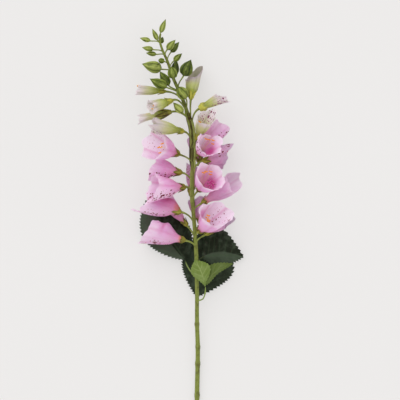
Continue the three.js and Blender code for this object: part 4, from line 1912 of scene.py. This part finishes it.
@dataclass
class Studio:
    """The table, the soft light and the camera above.

    Attributes:
        view_width: How much of the table the camera sees from side to side.
        from_cut: What it looks at, from the table under the middle of the stem's cut.
        sight, table_side: How far it sees, and how far the table reaches each way, in metres.
    """

    view_width: float = 540.0
    lens: float = 200.0
    sensor: float = 36.0
    from_cut: Place = (4.05, 303.75, 30.0)
    sight: float = 20.0
    table_side: float = 4.0
    table_glow: float = 0.628
    room_light: float = 0.75
    lamps: tuple[Lamp, ...] = (Lamp("key", 1.2, 60, 38, -30), Lamp("fill", 0.3, 80, -20, 45))

    def build_table(self) -> None:
        """Makes a wide pale table top with a faint unevenness."""
        mix = Shades("table_top")
        cloud = mix.noise(mix.place(), 3.0, 2.0)
        body = mix.mix(cloud, colour(150, 149, 149), colour(147, 146, 146))
        glow = {"Emission_Color": colour(236, 234, 232), "Emission_Strength": self.table_glow}
        side, mesh = self.table_side, bpy.data.meshes.new("table")
        corners = [(-side, -side, 0), (side, -side, 0), (side, side, 0), (-side, side, 0)]
        mesh.from_pydata(corners, [], [(0, 1, 2, 3)])
        mesh.materials.append(mix.finish(body, 0.9, cloud, 0.02, Specular_IOR_Level=0.1, **glow))
        table = bpy.data.objects.new("table", mesh)
        bpy.context.scene.collection.objects.link(table)

    def build_light(self) -> None:
        """Fills the room with even light and hangs the two soft lamps."""
        world = bpy.data.worlds.new("room")
        world.use_nodes = True
        backdrop = world.node_tree.nodes["Background"]
        backdrop.inputs[0].default_value = (1.0, 1.0, 1.0, 1.0)
        backdrop.inputs[1].default_value = self.room_light
        bpy.context.scene.world = world
        for lamp in self.lamps:
            light = bpy.data.lights.new(lamp.name, "SUN")
            light.energy = lamp.strength
            light.angle = math.radians(lamp.spread)
            hung = bpy.data.objects.new(lamp.name, light)
            hung.rotation_euler = (math.radians(-lamp.back), math.radians(lamp.right), 0)
            bpy.context.scene.collection.objects.link(hung)

    def build_camera(self, stem: Stem) -> None:
        """Hangs the camera straight over the spike, with its top towards the tip.

        Args:
            stem: The spike's stem.
        """
        data = bpy.data.cameras.new("camera")
        data.lens = self.lens
        data.sensor_width = self.sensor
        data.clip_end = self.sight
        camera = bpy.data.objects.new("camera", data)
        aim = stem.origin + np.array(self.from_cut)
        distance = self.view_width * self.lens / self.sensor
        camera.location = [*(aim[:2] * MM), (aim[2] + distance) * MM]
        bpy.context.scene.collection.objects.link(camera)
        bpy.context.scene.camera = camera
        bpy.context.scene.view_settings.view_transform = "Standard"


# ---- spike ----

FLOWERS = (
    Flower("left_1", 350, Tint.PINK, BellLook(
        seed=11, lobes=(-2, 5, 1, 0, 1), curls=(0, 1, 1, 0, 1), pale=1.0,
        dots=0.3, dots_from=0.3, dots_spread=2.0, dots_out=0.0, stamens=1.5,
        patches=(Patch(200, 0.75, 30, 0.3, blush_and_shade=0.25), Patch(330, 0.7, 60, 0.45, pale=0.9)),
    )),
    Flower("left_2", 322, Tint.PINK, BellLook(
        seed=12, lobes=(-3, 0, 0, 0, -1), curls=(0, 2, 0, 0, 1), dots=1.0, dots_from=0.15,
        ruffle=1.3, patches=(Patch(180, 0.5, 40, 0.3, blush_and_shade=0.3),),
    )),
    Flower("left_3", 312, Tint.PINK, BellLook(
        seed=13, curls=(1, 2, 0, 0, 0), dots=1.1, dots_from=0.22, dots_spread=1.2, ruffle=1.2, olive=0.6,
        patches=(
            Patch(60, 0.75, 30, 0.25, pale=0.45), Patch(170, 0.5, 40, 0.3, blush_and_shade=0.3),
            Patch(25, 0.5, 40, 0.25, dots=0.9, pale=0.55),
        ),
    )),
    Flower("left_4", 266, Tint.PINK, BellLook(
        seed=14, lobes=(4, 2, 3, 3, 0), curls=(-8, -1, 2, 1, -1), lip_narrow=5, dots_from=0.2,
        patches=(
            # The patch at 150 degrees is a painted shadow that left_3 casts on this bell's upper wall.
            Patch(150, 0.4, 50, 0.4, blush_and_shade=0.6), Patch(40, 0.7, 35, 0.4, pale=0.5),
            Patch(175, 0.2, 60, 0.17, swell=7.0), Patch(165, 0.4, 50, 0.2, swell=3.5),
        ),
    )),
    Flower("left_5", 246, Tint.PINK, BellLook(seed=15, dots=0.0, flare=0.2)),
    Flower("left_6", 236, Tint.PINK, BellLook(
        seed=16, lobes=(1, 7, 9, 3, 6), curls=(0, 5, 2, 0, 0), dots=1.0, dots_from=0.4, dots_spread=0.6,
        scallop=0.5, groove=0.03, sepal=0.5, sepal_open=0.3,
        patches=(
            Patch(60, 0.6, 25, 0.5, pale=0.4), Patch(95, 0.86, 30, 0.1, pale=0.4),
            Patch(175, 0.6, 65, 0.17, swell=4.6), Patch(40, 0.6, 30, 0.4, dots=0.5),
            Patch(108, 1.0, 27, 0.3, forward=4.5, swell=0.8),
            # A thin crease pressed into the wall, with painted shade along it.
            Patch(140, 0.7, 38, 0.05, blush_and_shade=0.45, swell=-1.3),
        ),
    )),
    Flower("right_1", 366, Tint.ROSE, BellLook(
        seed=17, lobes=(-7, 0, 0, 0, 0), curls=(-5, 0, 0, 0, 0), dots=1.0, dots_from=0.4, dots_spread=1.2,
        patches=(Patch(200, 0.4, 40, 0.3, blush_and_shade=0.2), Patch(240, 0.8, 60, 0.45, pale=0.45)),
    )),
    Flower("right_2", 350, Tint.PINK, BellLook(
        seed=18, lobes=(0, 0, 2, -6, 3), curls=(3, 0, 1, -4, 2), blush_and_shade=0.1, pale=0.9,
        dots=0.5, dots_from=0.3,
        patches=(
            # The patch at 110 degrees is painted shade in the throat.
            Patch(325, 0.95, 30, 0.3, pale=0.5, dots=0.9), Patch(110, 0.42, 40, 0.22, blush_and_shade=0.8, pale=-0.6),
            Patch(250, 0.5, 60, 0.45, pale=1.2),
        ),
    )),
    Flower("right_3", 336, Tint.MAUVE, BellLook(
        seed=19, lobes=(5, -4, -5, 0, -3), curls=(0, 0, 2, 0, 0), lip_narrow=9, ruffle=1.6, scallop=3.0,
        dots=0.9, dots_from=0.5,
    )),
    Flower("right_4", 300, Tint.PINK, BellLook(
        seed=20, lobes=(0, 1, 1, 1, 2), curls=(0, 0, 1, 2, 2), blush_and_shade=0.35, pale=1.0, dots=0.2, dots_from=0.3,
        stamens=1.1, stamens_in=1.9,
        patches=(
            Patch(95, 0.42, 50, 0.2, blush_and_shade=0.75, pale=-0.6, dots=0.9), Patch(200, 0.5, 50, 0.3, pale=0.3),
        ),
    )),
    Flower("right_5", 285, Tint.PINK, BellLook(
        seed=21, lobes=(1, -7, -5, -2, 3), curls=(-6, 0, -3, -4, 0), pale=0.6, dots=0.2, ruffle=0.9,
        sepal=0.6,
        patches=(Patch(0, 0.95, 80, 0.4, ash=0.6), Patch(180, 0.6, 90, 0.4, ash=0.2)),
    )),
    Flower("right_6", 246, Tint.PINK, BellLook(
        seed=22, lobes=(-5, 2, 1, 2, 3), curls=(0, 0, 5, 0, -3), pale=0.9, dots=0.34,
        dots_from=0.25, dots_spread=1.6, dots_out=0.0, stamens_in=3.6,
        patches=(
            Patch(130, 0.6, 45, 0.35, blush_and_shade=0.4, pale=-0.4), Patch(20, 0.5, 40, 0.25, dots=0.2),
            Patch(45, 0.5, 60, 0.45, pale=1.2),
        ),
    )),
    Flower("right_7", 242, Tint.MAUVE, BellLook(
        seed=23, lobes=(4, -2, -6, -14, -18), curls=(0, 0, 0, -3, -5), pale=0.8, dots=0.3,
    )),
    *(
        Flower(f"back_{number}", root, Tint.MAUVE, BellLook(seed=23 + number, flare=0.0, ruffle=0.6))
        for number, root in enumerate((346, 304, 262), 1)
    ),
    Flower("young_1", 432, Tint.PALE, BellLook(
        seed=27, lobes=(2, 1, 1, 1, 2), dots=0.0, stamens=1.42, ruffle=1.5, pale=0.8,
        olive=0.0, plump=(0.8, 0.5, 0.3),
    )),
    Flower("young_2", 414, Tint.PALE, BellLook(
        seed=28, lobes=(-3, -2, 0, -3, -2), curls=(2, 2, 3, 2, 2), dots=0.3, stamens=1.3, stamens_in=1.8,
        ruffle=1.5, pale=1.0, olive=-1.2, plump=(1.5, 0.4, 0.3),
    )),
    Flower("young_3", 404, Tint.PALE, BellLook(
        seed=29, lobes=(2, 0, 2, 0, 1), curls=(2, 1, 0, 1, 1), dots=0.2, olive=0.9, sepal=2.6,
        sepal_open=0.5, ruffle=2.0, scallop=3.0, pale=0.9, plump=(3.2, 0.25, 0.25),
    )),
    Flower("young_4", 368, Tint.PALE, BellLook(
        seed=30, lobes=(-14, 8, 5, -2, -10), curls=(-2, -9, -3, 0, -3), dots=0.2, ruffle=1.1, olive=-0.2,
        patches=(Patch(0, 0.95, 40, 0.25, pale=0.5, dots=1.6),),
    )),
    Flower("young_5", 398, Tint.PALE, BellLook(
        seed=31, lobes=(7, 3, 0, 0, 4), curls=(1, 2, 0, 0, 2), lip_narrow=0.7, dots=0.0,
        olive=-0.2, pale=0.0, plump=(1.0, 0.4, 0.3), patches=(
            Patch(30, 0.85, 60, 0.3, blush_and_shade=0.2, pale=-0.6, ash=0.85), Patch(36, 1.0, 28, 0.3, forward=6.0),
        ),
    )),
    Flower("young_6", 396, Tint.PALE, BellLook(
        seed=32, lobes=(0, 5, 0, 0, 0), curls=(2, 1, 0, 0, 1), dots=1.2, dots_from=0.5, dots_spread=1.9,
        ruffle=1.3, olive=-2.5,
        sepal=0.9, sepal_open=0.1, plump=(2.6, 0.08, 0.16),
    )),
    Flower("young_7", 366, Tint.PALE, BellLook(
        seed=33, lobes=(2, 0, 0, 0, 0), dots_from=0.05, dots_spread=2.0, ruffle=1.6, pale=1.0,
        stamens=1.1, stamens_in=2.0, olive=0.1,
    )),
)

# The large buds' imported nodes, and the heights on the stem that their stalks grow from.
LARGE_BUDS = (
    ("bud_right_1", 496, BudLook(light=0.4)),
    ("bud_left_1", 475, BudLook(light=0.5)),
    ("bud_front_1", 454, BudLook(light=0.2, blunt=0.6)),
    ("bud_right_2", 450, BudLook(dark=0.4)),
    ("bud_left_2", 446, BudLook(dark=0.2)),
    ("bud_left_3", 440, BudLook(light=0.1)),
    ("bud_front_2", 420, BudLook(light=0.35, blunt=0.8)),
)

SMALL_BUDS = (
    BudSpot(527, (-49, 529, 41), (-42, 547, 42), 3.8, BudLook(light=0.5)),
    BudSpot(514, (-53, 519, 40.5), (-60, 534, 42), 3.3, BudLook(light=0.5)),
    BudSpot(513, (-63, 518, 39), (-77, 522, 38), 3.3, BudLook(light=0.6)),
    BudSpot(511, (-49, 515, 36), (-46, 524, 33), 3.4, BudLook(dark=0.2)),
    BudSpot(501, (-59, 506, 41), (-74, 509, 42), 3.7, BudLook(light=0.5)),
    BudSpot(497, (-55, 500, 36), (-69, 502, 34), 3.3, BudLook(light=0.3)),
    BudSpot(488, (-35, 503, 35), (-24, 517, 33), 4.4, BudLook(dark=0.3)),
    BudSpot(480, (-31, 491, 39), (-20, 501, 40), 4.0, BudLook(light=0.2)),
    BudSpot(485, (-44, 490, 41), (-52, 492, 43), 3.5, BudLook(blunt=1.0)),
    BudSpot(462, (-31, 472, 30), (-28, 494, 27), 5.6, BudLook(dark=0.4)),
    BudSpot(408, (-19, 421, 41), (-32, 435, 38), 5.2, BudLook(light=0.9)),
)

LEAVES = (
    Leaf(
        "leaf_left", Foliage.DARK, 203, (-1, 0, -0.5), ((-8, 206.5, 15.5), (-13.5, 215, 13.5)),
        blades=(
            Blade(
                ((-25, 38, -4), (-50, 83, -10.8)), (-35, -3, -2.5), (24, 19, -4),
                widest=0.4, teeth=26, bloom_left=0.6, tooth=2.6,
            ),
        ),
    ),
    Leaf(
        "leaf_right", Foliage.DARK, 223, (1, 0, -0.5), ((9, 227, 17),),
        stalk_light=0.1,
        blades=(
            Blade(
                ((27, 2, -2), (56, 0, -9)), (-7, 41, -8), (1, -14, -9),
                widest=0.45, teeth=17, bloom_right=0.55, tooth=2.8, slender=0.9,
            ),
        ),
    ),
    Leaf(
        "leaf_low", Foliage.DARK, 165, (-0.2, 0, -1), ((-0.5, 169, 6), (0, 173, 3)),
        blades=(
            Blade(
                ((9, 42, -1), (9, 95, -2.4)), (-28, 14, -0.4), (42, 0, -0.4),
                widest=0.45, teeth=28, bloom_left=0.15, bloom_right=0.15, tooth=2.8, slender=1.1,
            ),
        ),
    ),
    Leaf(
        "leaf_small", Foliage.LIGHT, 167, (1, 0, 0.5), ((8, 170, 21), (11, 178, 25)),
        blades=(
            Blade(
                ((-5, 19, 3), (-14, 37, 1)), (-12, -5, -2), (13, 5, -1),
                widest=0.62, teeth=12, veins=5, tooth=1.0, wave=0.6, slender=1.0,
            ),
            Blade(
                ((13, 17, -2), (37, 28, -6)), (-6, 10, -1), (2, -4, -2),
                widest=0.4, teeth=12, veins=5, tooth=1.3, wave=0.6, shade=0.45,
            ),
        ),
    ),
)

STRANDS = (
    Strand(338, 428, turn=172, out=3.1, dark=1.0),
    Strand(345, 430, turn=88, out=2.6, light=0.05, dark=0.8),
    Strand(328, 424, turn=15, out=3.0, light=0.9),
    Strand(366, 432, turn=130, out=3.3, light=0.5, dark=0.2),
    Strand(372, 428, turn=48, out=3.4, light=0.6, dark=0.25),
    Strand(286, 352, turn=150, out=2.2, light=0.7, dark=0.1),
)


def put_on(pieces: Pieces) -> None:
    """Makes pieces ride on the body and reports each with its material slot.

    Args:
        pieces: Each piece with its material slot.
    """
    for piece, slot in pieces:
        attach(piece, "root")
        LOG.info("%s: %d faces, slot %s", piece.name, len(piece.data.polygons), slot)


def main() -> None:
    """Builds the studio and the spike, piece by piece."""
    logging.basicConfig(level=logging.INFO, format="%(message)s")
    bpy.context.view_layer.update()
    stem = Stem()
    studio = Studio()
    studio.build_camera(stem)
    studio.build_light()
    studio.build_table()
    for flower in FLOWERS:
        put_on(flower.build(stem))
    for node, root, look in LARGE_BUDS:
        put_on(Bud.packed(node, root, look).build(stem))
    for number, spot in enumerate(SMALL_BUDS, 1):
        put_on(Bud.small(stem, number, spot).build(stem))
    for leaf in LEAVES:
        put_on(leaf.build(stem))
    stem.add_bract(404, (-12, 424, 44), 4.5)
    for strand in STRANDS:
        stem.add_strand(strand)
    put_on([(stem.build(), Green.STEM.value.slot)])


if __name__ == "__main__":
    main()
